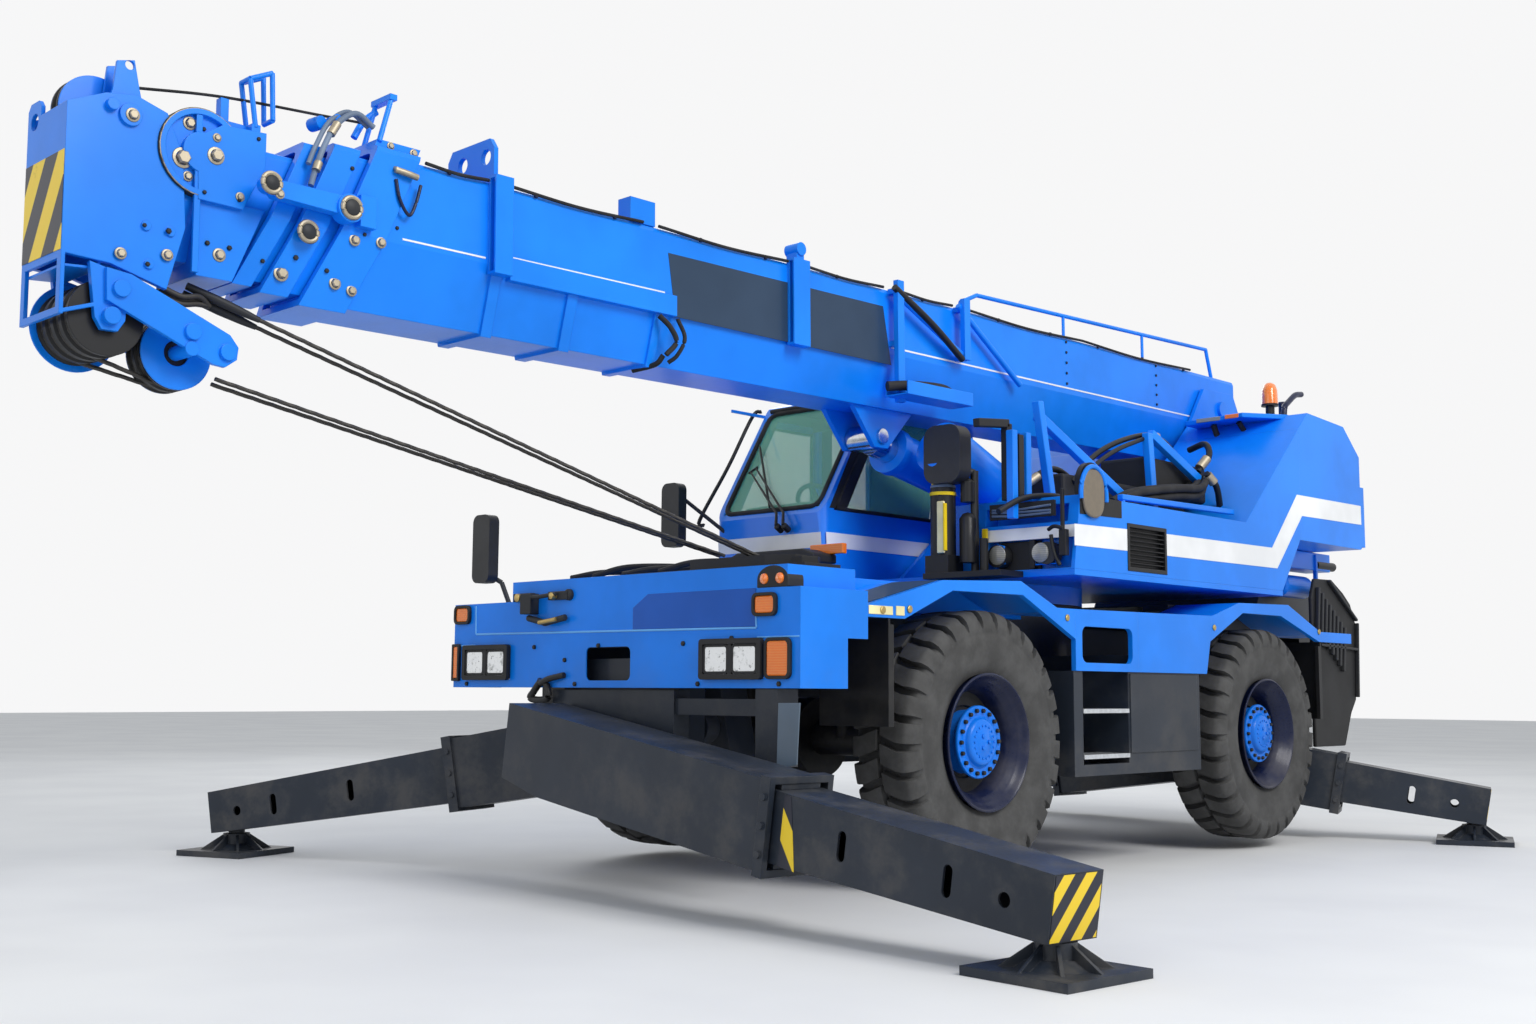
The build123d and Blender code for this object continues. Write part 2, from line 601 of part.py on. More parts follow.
CAB_FRONT = 560
CAB_REAR = 2150
save("slewing_bearing", slewing_bearing())
save("turntable_frame", turntable_frame())
left_cover = machinery_cover(1)
left_cover -= box(UPPER_HALF - 40, UPPER_HALF + 5, FA + 1483, FA + 1937, 1721, 2005)
LAMP_RECESS = (640, 1225, 1708, 1885)
LAMP_RECESS_IN = 75
left_cover -= box(600, 1180, UPPER_FRONT - 10, UPPER_FRONT + 180, COVER_TOP - 150, COVER_TOP - 45)
left_cover -= box(LAMP_RECESS[0], LAMP_RECESS[1], UPPER_FRONT - 1, UPPER_FRONT + LAMP_RECESS_IN, LAMP_RECESS[2], LAMP_RECESS[3])
save("machinery_cover", left_cover, machinery_cover(-1))


def grille():
    y0, y1, z0, z1 = FA + 1483 + FIT, FA + 1937 - FIT, 1721 + FIT, 2005 - FIT
    ring = box(UPPER_HALF - 40 + FIT, UPPER_HALF + 4, y0, y1, z0, z1)
    ring -= box(UPPER_HALF - 30, UPPER_HALF + 10, y0 + 22, y1 - 22, z0 + 22, z1 - 22)
    for i in range(9):
        z = z0 + 34 + i * (z1 - z0 - 68) / 8
        slat = prism_y([(UPPER_HALF - 34, z - 4), (UPPER_HALF - 2, z - 14), (UPPER_HALF - 2, z - 9), (UPPER_HALF - 34, z + 1)],
                       y0 + 20, y1 - 20)
        ring += slat
    return ring


save("grille", grille())


def work_lamps():
    """Round working lamps in the recess of the left cover, and one on the cab's roof."""
    x0, x1, z0, z1 = LAMP_RECESS
    back = UPPER_FRONT + LAMP_RECESS_IN
    found = []
    for x in (x0 + 85, x1 - 150):
        lamp = rod((x, back - FIT, (z0 + z1) / 2), (x, back - 30, (z0 + z1) / 2), 30)
        lamp += rod((x, back - 28, (z0 + z1) / 2), (x, UPPER_FRONT - 20, (z0 + z1) / 2), 66)
        found.append(lamp)
    x = CAB_X1 - 330
    roof = box(x - 30, x + 30, FA + 1150, FA + 1200, CAB_TOP + FIT, CAB_TOP + 40)
    roof += box(x - 100, x + 100, FA + 1130, FA + 1215, CAB_TOP + 38, CAB_TOP + 130)
    side = disc_x(FA + 1115, COVER_TOP + FIT + 80, 80, UPPER_HALF - 58, UPPER_HALF - 12)
    return found + [roof, side]


def left_fittings():
    """Canister in its housing and a post, on a foot ahead of the left cover."""
    foot_y = UPPER_FRONT - 230
    foot = box(340, 900, foot_y, UPPER_FRONT - FIT, UPPER_Z, UPPER_Z + 35)
    body = foot + box(350, 520, foot_y + 10, foot_y + 160, UPPER_Z + 30, UPPER_Z + 140)
    body += rod((430, foot_y + 85, UPPER_Z + 135), (430, foot_y + 85, 2212), 76)
    body += rod((680, FA + 830, UPPER_Z + 30), (680, FA + 830, 1900), 26)
    # bow round the side lamp on the cover's top edge
    bow = ring_x(FA + 1115, COVER_TOP + 70, 130, 106, UPPER_HALF - 40, UPPER_HALF - 6)
    for y in (FA + 985, FA + 1221):
        bow += box(UPPER_HALF - 40, UPPER_HALF - 6, y, y + 24, COVER_TOP - 80, COVER_TOP + 70)
    bow -= box(UPPER_HALF - 60, UPPER_HALF, FA + 900, FA + 1300, COVER_TOP - 200, COVER_TOP + FIT)
    return [body, bow]




COUNTER_TOP = [(FA + 3949, 2992), (FA + 4542, 2965)]


def counterweight():
    side = prism_x([(CW_FRONT, CW_Z), (CW_REAR - 20, CW_Z), (CW_REAR, CW_Z + 10), (CW_REAR, 2764), COUNTER_TOP[1],
                    COUNTER_TOP[0], (CW_FRONT, 2863)], CHEEK_OUT + FIT, UPPER_HALF)
    centre = box(-CHEEK_IN + FIT, CHEEK_IN - FIT, FA + 4250, CW_REAR, CW_Z, 2560)
    bridge = box(-UPPER_HALF, UPPER_HALF, CW_REAR, CW_REAR + 60, CW_Z + 20, 2540)
    return joined(side, mirrored(side), centre, bridge)


save("counterweight", counterweight())


def winch():
    y, z = FA + 3905, 2300
    drum = disc_x(y, z, 150, -CHEEK_IN + 30, CHEEK_IN - 30)
    for x in (-CHEEK_IN + FIT, CHEEK_IN - FIT - 30):
        drum += disc_x(y, z, 215, x, x + 30)
    return drum


save("winch", winch())


# ---------------------------------------------------------------- operator's cab
CAB_X0 = -1285
CAB_X1 = -332
CAB_WALL = 40
CAB_TOP = 2960
CAB_SIDE = [(CAB_FRONT, UPPER_Z + 35.3), (CAB_FRONT - 20, 2110), (1040, 2930), (1120, CAB_TOP), (2060, CAB_TOP), (CAB_REAR, 2870),
            (CAB_REAR, UPPER_Z + 35.3)]
CAB_INNER = [(CAB_FRONT + 40, 1740), (CAB_FRONT + 22, 2105), (1072, 2900), (1130, CAB_TOP - 40), (2050, CAB_TOP - 40),
             (CAB_REAR - 40, 2850), (CAB_REAR - 40, 1740)]
GLASS = 8
SIDE_GLASS = [(640, 2130), (1080, 2840), (2020, 2840), (2080, 2780), (2080, 2130)]
DOOR = [(700, 1760), (700, 2140), (1100, 2850), (1560, 2850), (1560, 1760)]
DOOR_TRAVEL = 620


def scaled_outline(points, by):
    """Outline shrunk towards its middle, for a pane in its opening."""
    cy = sum(p[0] for p in points) / len(points)
    cz = sum(p[1] for p in points) / len(points)
    return [(cy + (y - cy) * by, cz + (z - cz) * by) for y, z in points]


def windscreen(depth0, depth1, x0, x1, z0, z1):
    """A slab parallel to the raked front of the cab, between two depths behind its outer face."""
    (ya, za), (yb, zb) = CAB_SIDE[1], CAB_SIDE[2]
    slope = (yb - ya) / (zb - za)
    length = math.hypot(yb - ya, zb - za)
    ny, nz = (zb - za) / length, -(yb - ya) / length
    corners = []
    for z, d in ((z0, depth0), (z1, depth0), (z1, depth1), (z0, depth1)):
        y = ya + (z - za) * slope
        corners.append((FA + y + ny * d, z + nz * d))
    return prism_x(corners, x0, x1)


CAB_ROUND = 62        # radius of the cab's upright corners and roof edges


def cab_shell():
    shell = prism_x(axle_y(CAB_SIDE), CAB_X0, CAB_X1)
    mid, width = (CAB_X0 + CAB_X1) / 2, CAB_X1 - CAB_X0
    plan = Pos(mid, FA + (CAB_FRONT - 20 + CAB_REAR) / 2, 1500) * RectangleRounded(width, CAB_REAR - CAB_FRONT + 20, CAB_ROUND)
    shell &= extrude(plan, amount=1600, dir=(0, 0, 1))
    across = Plane((mid, FA, CAB_TOP - 1000), x_dir=(1, 0, 0), z_dir=(0, 1, 0)) * RectangleRounded(width, 2000, CAB_ROUND)
    shell &= extrude(across, amount=3000)
    shell -= prism_x(axle_y(CAB_INNER), CAB_X0 + CAB_WALL, CAB_X1 - CAB_WALL)
    shell -= windscreen(-60, 80, CAB_X0 + 55, CAB_X1 - 55, 2150, 2885)
    shell -= prism_x(axle_y(SIDE_GLASS), CAB_X1 - 60, CAB_X1 + 10)
    shell -= prism_x(axle_y(DOOR), CAB_X0 - 10, CAB_X0 + 60)
    shell -= prism_x(axle_y([(1660, 2130), (1660, 2840), (2020, 2840), (2080, 2780), (2080, 2130)]), CAB_X0 - 10, CAB_X0 + 60)
    shell -= box(CAB_X0 + 140, CAB_X1 - 140, FA + CAB_REAR - 60, FA + CAB_REAR + 10, 2150, 2800)
    # rails that the door hangs and runs on
    for z in (1735, 2875):
        shell += box(CAB_X0 - 12, CAB_X0, FA + 690, FA + 2140, z - 10, z + 10)
    return shell


def cab_glass():
    panes = [windscreen(6, 6 + GLASS, CAB_X0 + 55 + FIT, CAB_X1 - 55 - FIT, 2151, 2884)]
    for x0, outline in ((CAB_X1 - 20, SIDE_GLASS), (CAB_X0 + 12, [(1660, 2130), (1660, 2840), (2020, 2840), (2080, 2780),
                                                                   (2080, 2130)])):
        panes.append(prism_x(axle_y(scaled_outline(outline, 0.9995)), x0, x0 + GLASS))
    panes.append(box(CAB_X0 + 140 + FIT, CAB_X1 - 140 - FIT, FA + CAB_REAR - 24, FA + CAB_REAR - 24 + GLASS, 2150 + FIT, 2800 - FIT))
    return panes


def cab_door():
    """Sliding door outside the right wall, with its window let in."""
    x0, x1 = CAB_X0 - 34, CAB_X0 - 12 - FIT
    outline = [(680, 1742), (680, 2140), (1085, 2868), (1580, 2868), (1580, 1742)]
    window = [(760, 2150), (1130, 2815), (1530, 2815), (1530, 2150)]
    door = prism_x(axle_y(outline), x0, x1)
    door -= prism_x(axle_y(window), x0 - 5, x1 + 5)
    door += box(x0 - 14, x0, FA + 1440, FA + 1500, 2040, 2070)
    pane = prism_x(axle_y(scaled_outline(window, 0.9995)), x0 + 6, x0 + 12)
    return door, pane


def cab_interior():
    """Seat, console, steering column and wheel."""
    floor_z = 1740
    mid = (CAB_X0 + CAB_X1) / 2
    seat_box = box(mid - 200, mid + 200, FA + 1420, FA + 1820, floor_z, 2020)
    cushion = box(mid - 250, mid + 250, FA + 1370, FA + 1880, 2020, 2130)
    back = prism_x(axle_y([(1800, 2130), (1960, 2700), (2040, 2700), (1900, 2130)]), mid - 235, mid + 235)
    head = prism_x(axle_y([(1965, 2700), (1990, 2850), (2060, 2850), (2040, 2700)]), mid - 130, mid + 130)
    console = box(mid - 260, mid + 260, FA + 640, FA + 860, floor_z, 2060)
    column = rod((mid, FA + 820, 2000), (mid, FA + 1068, 2207), 35)
    centre = Plane((mid, FA + 1068, 2207), z_dir=(0, 240, 200))
    wheel = centre * Torus(190, 16) + extrude(centre * Rectangle(370, 36), amount=8, both=True)
    return [joined(seat_box, cushion, back, head), joined(console, column, wheel)]


save("cab_shell", cab_shell())
save("cab_glass", cab_glass())
door, door_pane = cab_door()
save("cab_door", door)
save("cab_door_glass", door_pane)
save("cab_interior", cab_interior())


# ---------------------------------------------------------------- boom
STOWED = Pos(0, PIVOT_Y, PIVOT_Z) * Rot(BOOM_DROOP, 0, 0)
# section: front plane at the pin's height, rear end, length of the collar, how far the collar stands out
SECTIONS = {
    "base": (BOOM_NOSE, BOOM_TAIL, 225, 26),
    "second": (BOOM_NOSE - 181, -560, 130, 25),
    "third": (BOOM_NOSE - 305, -860, 87, 32),
}
HEAD_TUBE = (BOOM_NOSE - 733, -1160)
COLLAR_RISE = 60      # top plate of the base section's collar
PAD_LEN = 150
PAD_IN = 20           # slide pads keep this far from a section's end
# frames round the lower half of the base section: front end, rear end
LOWER_RIBS = [(-6952, -6892), (-6487, -6424), (-5912, -5860)]
RIB_OUT = 14
# straps down the sides of the base section: front end, rear end, lower end, upper end, standing out
SIDE_STRAPS = [(-6973, -6870, -180, 292, 58), (-4916, -4782, -208, 285, 52)]
LEDGE = (-6858, -5783, -82, -190)
LEDGE_OUT = 22


def boom_outline(inset):
    """Half-hexagon section: upright upper sides, lower sides sloping in to a narrow sole."""
    h = BOOM_HALF - inset
    top, low = BOOM_TOP - inset, BOOM_BOTTOM + inset
    crease = BOOM_CREASE + inset * 0.12
    sole = BOOM_SOLE - inset * 0.85
    edge = 34
    return [(h, crease), (h, top - edge), (h - edge * 0.3, top - edge * 0.3), (h - edge, top), (-h + edge, top),
            (-h + edge * 0.3, top - edge * 0.3), (-h, top - edge), (-h, crease), (-sole, low), (sole, low)]


def leaning_slab(y0, y1):
    """Everything between two planes that lean back like the sections' front ends."""
    low, high = -800, 600
    return prism_x([(y0 + NOSE_LEAN * low, low), (y1 + NOSE_LEAN * low, low), (y1 + NOSE_LEAN * high, high),
                    (y0 + NOSE_LEAN * high, high)], -400, 400)


def boom_tube(inset, y0, y1, leaning=True):
    """Hollow section from its front plane to its rear end."""
    start = y0 - 400 if leaning else y0
    tube = prism_y(boom_outline(inset), start, y1) - prism_y(boom_outline(inset + BOOM_WALL), start - 1, y1 + 1)
    return tube - leaning_slab(y0 - 900, y0) if leaning else tube


def nose_pads(inset, y0):
    """Slide pads on the floor at a section's front end, under the next section."""
    z0 = BOOM_BOTTOM + inset + BOOM_WALL
    half = BOOM_SOLE - inset * 0.85 - 40
    front = y0 + NOSE_LEAN * z0 + PAD_IN
    return box(-half, half, front, front + PAD_LEN, z0 - 1, z0 + STEP_IN - BOOM_WALL - FIT)


def tail_pads(inset, y1):
    """Slide pads on the roof at a section's rear end, against the section round it."""
    z0 = BOOM_TOP - inset
    half = BOOM_HALF - inset - 60
    return box(-half, half, y1 - PAD_IN - PAD_LEN, y1 - PAD_IN, z0 - 1, z0 + STEP_IN - BOOM_WALL - FIT)


def collar(inset, y0, length, out):
    """Leaning plate ring round a section's front end."""
    ring = prism_y(boom_outline(inset - out), y0 - 500, y0 + 600) & leaning_slab(y0, y0 + length)
    return ring - prism_y(boom_outline(inset + 2), y0 - 600, y0 + 700)


def lower_rib(y0, y1):
    """Frame round the sloping lower sides and the sole."""
    ring = prism_y(boom_outline(-RIB_OUT), y0, y1) - prism_y(boom_outline(2), y0 - 1, y1 + 1)
    return ring - box(-400, 400, y0 - 1, y1 + 1, BOOM_CREASE - 30, 500)


def boom_base():
    y0, y1, length, out = SECTIONS["base"]
    body = boom_tube(0, y0, y1)
    body -= prism_x([(60, BOOM_BOTTOM - 1), (y1, -60), (y1 + 10, -60), (y1 + 10, BOOM_BOTTOM - 1)], -400, 400)
    # foot: a plate across the rear end, the bosses and the pin
    body += prism_x([(60, BOOM_BOTTOM + 2), (y1 - 2, -60), (y1 - 2, BOOM_TOP - 40), (y1 - 26, BOOM_TOP - 40), (y1 - 26, -52),
                     (40, BOOM_BOTTOM + 2)], -BOOM_SOLE, BOOM_SOLE)
    body += box(-BOOM_HALF + 2, BOOM_HALF - 2, y1 - 26, y1 - 2, -56, BOOM_TOP - 40)
    body += disc_x(0, 0, 138, -BOOM_HALF - 8, BOOM_HALF + 8)
    body += disc_x(0, 0, PIN_R, -CHEEK_OUT - 24, CHEEK_OUT + 24)
    # lugs for the luffing cylinder's eye, below the sole
    eye_y, eye_z = luff_eye_local()
    for side in (-1, 1):
        lug = prism_x([(eye_y - 260, BOOM_BOTTOM + 4), (eye_y - 60, eye_z - 70), (eye_y + 60, eye_z - 70), (eye_y + 300, BOOM_BOTTOM + 4)],
                      *sorted((side * 96, side * 130)))
        body += lug
    body -= disc_x(eye_y, eye_z, 45 + FIT, -140, 140)
    body += collar(0, y0, length, out)
    body += nose_pads(0, y0)
    # raised plate on the collar, and the transverse lug plate behind it
    cap = prism_x([(y0 + NOSE_LEAN * 264, 264), (y0 + NOSE_LEAN * 330, BOOM_TOP + COLLAR_RISE),
                   (y0 + length + NOSE_LEAN * 330, BOOM_TOP + COLLAR_RISE), (y0 + length + NOSE_LEAN * 264, 264)], -235, 235)
    body += cap
    lug_y = SIDE_STRAPS[0][0] + 40
    plate = prism_y([(-120, BOOM_TOP - 4), (214, BOOM_TOP - 4), (237, BOOM_TOP - 15), (BOOM_HALF - 3, BOOM_TOP - 35),
                     (BOOM_HALF, BOOM_TOP - 35), (BOOM_HALF, 440), (215, 490), (-85, 490), (-120, 440)], lug_y - 12, lug_y + 12)
    for x in (0, 185):
        plate -= rod((x, lug_y - 20, 404), (x, lug_y + 20, 404), 38)
    body += plate
    for rib in LOWER_RIBS:
        body += lower_rib(*rib)
    for front, rear, low, high, stand in SIDE_STRAPS:
        body += both_sides(box(BOOM_HALF - 4, BOOM_HALF + stand, front, rear, low, high) - box(
            BOOM_HALF + 14, BOOM_HALF + stand - 12, front - 1, rear + 1, low + 14, high - 14))
    front, rear, high, low = LEDGE
    foot = BOOM_HALF - (BOOM_CREASE - low) * (BOOM_HALF - BOOM_SOLE) / (BOOM_CREASE - BOOM_BOTTOM)
    body += both_sides(prism_y([(BOOM_HALF - 4, high), (BOOM_HALF + LEDGE_OUT, high), (BOOM_HALF + LEDGE_OUT, low), (foot - 4, low),
                                (BOOM_HALF - 4, BOOM_CREASE)], front, rear))
    return body + jib_latch(y0) + boom_fittings()


def both_sides(shape):
    return shape + mirrored(shape)


LATCH_X = (BOOM_HALF + 15, BOOM_HALF + 70)


def jib_latch(y0):
    """Bar beside the nested collars, from the base section's collar to the head."""
    bar = prism_x([(-8120, 6), (-7700, 6), (-7700, -80), (-8100, -66), (-8132, -30)], *LATCH_X)
    bar += disc_x(-8122, -16, 36, *LATCH_X)
    bar += disc_x(-7752, -45, 62, LATCH_X[0], LATCH_X[1] + 14)
    return bar + box(BOOM_HALF + 2, LATCH_X[1], y0 + 10, y0 + 90, -110, 30)


def boom_fittings():
    """What stands on the base section: hand rail, roller frame, tripod and the posts beside the left side."""
    top = BOOM_TOP - 6
    rail = rod((200, -3240, top), (200, -3234, 327), 14)
    for a, b in (((-3234, 327), (-3059, 402)), ((-3059, 402), (-36, 486)), ((-36, 486), (40, top))):
        rail += rod((200, *a), (200, *b), 14)
    for y in (-2050, -1000):
        rail += rod((200, y, top), (200, y, 402 + (y + 3059) * 84 / 3023), 11)
    # frame over the collar and the roller on the second strap
    for x in (110, 235):
        rail += rod((x, -7560, BOOM_TOP + 50), (x, -7500, 540), 12)
    rail += box(94, 251, -7518, -7482, 522, 548)
    rail += box(210, 290, -4880, -4820, 250, 330)
    rail += disc_x(-4850, 345, 38, 200, 300)
    # sensor box on the top, ahead of the roller
    rail += box(150, 245, -6085, -5915, top, 392)
    return rail + side_frames()


# stay frames beside the left side: front, rear, lower end, upper end, outer face
SIDE_FRAMES = [(-4084, -3918, -430, 310, 330), (-3432, -3269, -84, 305, 340)]
HOSE_TRAY = (-4121, -3484, -410, -330)
HOSE_TRAY_X = (300, 470)


def side_frames():
    frame = None
    for front, rear, low, high, out in SIDE_FRAMES:
        mid = (front + rear) / 2
        post = box(out - 34, out, mid - 30, mid + 30, low, high)
        for z in (high - 60, BOOM_CREASE + 60):
            post += box(BOOM_HALF - 5, out - 30, mid - 22, mid + 22, z - 16, z + 16)
        frame = post if frame is None else frame + post
    y0, y1, z0, z1 = HOSE_TRAY
    x0, x1 = HOSE_TRAY_X
    tray = box(x0, x1, y0, y1, z0, z0 + 8) + box(x1 - 8, x1, y0, y1, z0, z1) + box(x0, x0 + 8, y0, y1, z0, z1)
    strut = rod((305, -4010, 230), (305, -3352, -60), 20)
    return frame + tray + strut


def luff_eye_local():
    """The rod eye's pin in the boom's own axes."""
    a = math.radians(BOOM_DROOP)
    dy, dz = LUFF_EYE_Y - PIVOT_Y, LUFF_EYE_Z - PIVOT_Z
    return dy * math.cos(a) + dz * math.sin(a), -dy * math.sin(a) + dz * math.cos(a)


def boom_section(name, order):
    """One sliding section with its collar and slide pads."""
    y0, y1, length, out = SECTIONS[name]
    inset = STEP_IN * order
    body = boom_tube(inset, y0, y1) + collar(inset, y0, length, out)
    if name == "second":
        body += disc_x(-7905, -164, 38, BOOM_HALF - 20, BOOM_HALF + 8)
    return body + tail_pads(inset, y1) + nose_pads(inset, y0)


# ---------------------------------------------------------------- boom head
HEAD_HALF = 185
HEAD_PLATE = 26
HEAD_FRONT = -8910
HEAD_SIDE = [(-8910, 165), (-8760, 235), (-8640, 255), (-8510, 215), (-8440, 60), (-8420, -240), (-8490, -505), (-8720, -440),
             (-8910, -430)]
ARM_SIDE = [(-8741, -463), (-8641, -475), (-8222, -653), (-8184, -700), (-8190, -752), (-8240, -789), (-8290, -784), (-8736, -591)]
ARM_OUT = HEAD_HALF + 20
BOX_SIDE = [(-8385, 148), (-8279, 221), (-8084, 233), (-8085, 82), (-8181, -116), (-8376, -112)]
HEAD_BOLTS = [(-8584, -264), (-8483, -269), (-8675, -392), (-8486, -359), (-8567, -417)]
# sheave: centre y, centre z, radius, left and right face, number of grooves, pin radius
SHEAVES = {
    "low": (-8712, -650, 150, -148, 148, 4, 34),
    "rear": (-8385, -733, 150, -60, 60, 2, 30),
    "nose": (-8740, 190, 150, -22, 40, 1, 24),
}
GUIDE_WHEEL = (-8362, 85, 180)


def boom_head_local():
    y0, y1 = HEAD_TUBE
    inset = STEP_IN * 3
    body = boom_tube(inset, y0, y1, leaning=False) + tail_pads(inset, y1)
    block = box(-HEAD_HALF + 10, HEAD_HALF - 10, -8364, -7700, -422, -93) - leaning_slab(BOOM_NOSE - 323, BOOM_NOSE + 900)
    body += block - prism_y(boom_outline(inset + BOOM_WALL), -9000, -7000)
    body += box(-150, 150, y0 + 20, -8095, BOOM_TOP - inset - 4, 262)
    inner = HEAD_HALF - HEAD_PLATE
    plate = prism_x(HEAD_SIDE, inner, HEAD_HALF)
    hanger = prism_x([(-8800, -445), (-8640, -480), (-8652, -660), (-8680, -705), (-8744, -705), (-8772, -660)], inner, HEAD_HALF)
    arm = prism_x(ARM_SIDE, HEAD_HALF - 1, ARM_OUT)
    for y, z in ((-8682, -539), (-8385, -664), (-8234, -727)):
        arm += disc_x(y, z, 34, ARM_OUT - 1, ARM_OUT + 16)
    for y, z in HEAD_BOLTS:
        plate += disc_x(y, z, 20, HEAD_HALF - 1, HEAD_HALF + 9)
    plate += disc_x(-8664, 167, 45, HEAD_HALF - 1, HEAD_HALF + 14)
    shelf = prism_x([(HEAD_FRONT, -668), (-8739, -608), (-8739, -592), (HEAD_FRONT, -652)], inner, HEAD_HALF)
    body += both_sides(plate + hanger + arm + shelf)
    # front panel with the lug at its right end, and the open frame below it
    front = prism_y([(-HEAD_HALF, -668), (HEAD_HALF, -668), (HEAD_HALF, 165), (-60, 165), (-60, 205), (-85, 232), (-160, 232),
                     (-HEAD_HALF, 205)], HEAD_FRONT, HEAD_FRONT + 16)
    front -= box(-150, 150, HEAD_FRONT - 1, HEAD_FRONT + 17, -640, -450)
    front -= rod((-120, HEAD_FRONT - 1, 150), (-120, HEAD_FRONT + 17, 150), 35)
    body += front
    body += prism_x([(-8896, -478), (-8753, -468), (-8739, -418), (-8749, -410), (-8763, -458), (-8896, -468)], -inner - 1, inner + 1)
    # eared bracket beside the nose sheave
    ears = prism_x([(-8740, 215), (-8725, 266), (-8712, 386), (-8642, 405), (-8619, 294), (-8600, 215)], 60, inner + 2)
    ears -= box(74, inner - 12, -8800, -8500, 240, 500)
    ears -= disc_x(-8661, 380, 19, 0, 200)
    body += ears
    # guide wheel and box beside the tube, behind the side plates
    y, z, radius = GUIDE_WHEEL
    wheel = disc_x(y, z, radius, 150, 200) - ring_x(y, z, radius - 22, radius - 96, 178, 201)
    body += wheel
    body += prism_x(BOX_SIDE, HEAD_HALF - 10, HEAD_HALF + 15)
    body += box(HEAD_HALF - 2, HEAD_HALF + 12, -8392, -8366, -415, 240)
    # post and handle on the top
    body += box(100, 140, -8262, -8226, 250, 360)
    loop = [(-8130, 250), (-8160, 455), (-8060, 505), (-8052, 300)]
    for x in (115, 190):
        for a, b in zip(loop[:-1], loop[1:]):
            body += rod((x, *a), (x, *b), 11)
    body += rod((115, -8160, 455), (190, -8160, 455), 11) + rod((115, -8052, 300), (190, -8052, 300), 11)
    body += box(120, 196, -8150, -8110, 225, 262)
    for y, z, radius, x0, x1, grooves, pin in SHEAVES.values():
        body += disc_x(y, z, pin, -ARM_OUT - 6, ARM_OUT + 6)
    return body


def head_sheaves():
    """Grooved rope sheaves, turned about their pins."""
    found = []
    for y, z, radius, x0, x1, grooves, pin in SHEAVES.values():
        step = (x1 - x0) / grooves
        block = None
        for i in range(grooves):
            profile = Polygon((-step / 2, pin + FIT), (-step / 2, radius), (-step * 0.32, radius), (-step * 0.16, radius - 24),
                              (step * 0.16, radius - 24), (step * 0.32, radius), (step / 2, radius), (step / 2, pin + FIT), align=None)
            face = Plane((x0 + (i + 0.5) * step, y, z), x_dir=(1, 0, 0), z_dir=(0, 1, 0)) * profile
            groove = revolve(face, axis=Axis((0, y, z), (1, 0, 0)))
            block = groove if block is None else block + groove
        found.append(block)
    return found


save("boom_base", STOWED * boom_base())
save("boom_second", STOWED * boom_section("second", 1))
save("boom_third", STOWED * boom_section("third", 2))
save("boom_head", STOWED * boom_head_local())
save("head_sheaves", *[STOWED * s for s in head_sheaves()])


# ---------------------------------------------------------------- luffing cylinder
def luff_axis():
    dy, dz = LUFF_EYE_Y - LUFF_BASE_Y, LUFF_EYE_Z - LUFF_BASE_Z
    length = math.hypot(dy, dz)
    return Pos(0, LUFF_BASE_Y, LUFF_BASE_Z) * Rot(-math.degrees(math.atan2(dz, -dy)), 0, 0), length


luff_frame, luff_len = luff_axis()
BARREL_LEN = luff_len - 230


def luff_barrel():
    """Barrel lying forward (-Y) from its base pin."""
    barrel = rod((0, -130, 0), (0, -BARREL_LEN, 0), BARREL_R)
    barrel -= rod((0, -200, 0), (0, -BARREL_LEN - 1, 0), BARREL_R - 28)
    gland = rod((0, -BARREL_LEN - 6, 0), (0, -BARREL_LEN + 60, 0), BARREL_R + 14)
    gland -= rod((0, -BARREL_LEN - 10, 0), (0, -BARREL_LEN + 80, 0), ROD_R + FIT)
    eye = disc_x(0, 0, 95, -88, 88)
    web = box(-80, 80, -170, 0, -80, 80)
    return joined(barrel, gland, eye, web) + disc_x(0, 0, 50, -150, 150)


def luff_rod():
    bar = rod((0, -300, 0), (0, -luff_len + 60, 0), ROD_R)
    eye = disc_x(-luff_len, 0, 80, -92, 92)
    return joined(bar, eye, disc_x(-luff_len, 0, 45, -150, 150))


save("luff_barrel", luff_frame * luff_barrel())
save("luff_rod", luff_frame * luff_rod())


# ---------------------------------------------------------------- mirrors, beacon, hook block
save("work_lamps", work_lamps())
save("left_fittings", left_fittings())


def mirror_head(x, y, z, width, height, depth):
    """Rounded mirror housing facing rearwards."""
    face = Plane((x, y + depth / 2, z), x_dir=(1, 0, 0), z_dir=(0, -1, 0)) * RectangleRounded(width, height, width * 0.3)
    return extrude(face, amount=depth)


def carrier_mirrors():
    """Mirror on an arm from the right front shoulder."""
    head = mirror_head(-1400, FA - 1230, 1815, 160, 400, 70)
    arm = rod((-1280, FA - 1120, SHOULDER_Z - 20), (-1330, FA - 1160, 1620), 14)
    arm -= box(-1400, -1200, FA - 1200, FA - 1050, SHOULDER_Z - 60, SHOULDER_Z + FIT)
    arm += rod((-1330, FA - 1160, 1620), (-1400, FA - 1230, 1680), 14)
    return joined(head, arm)


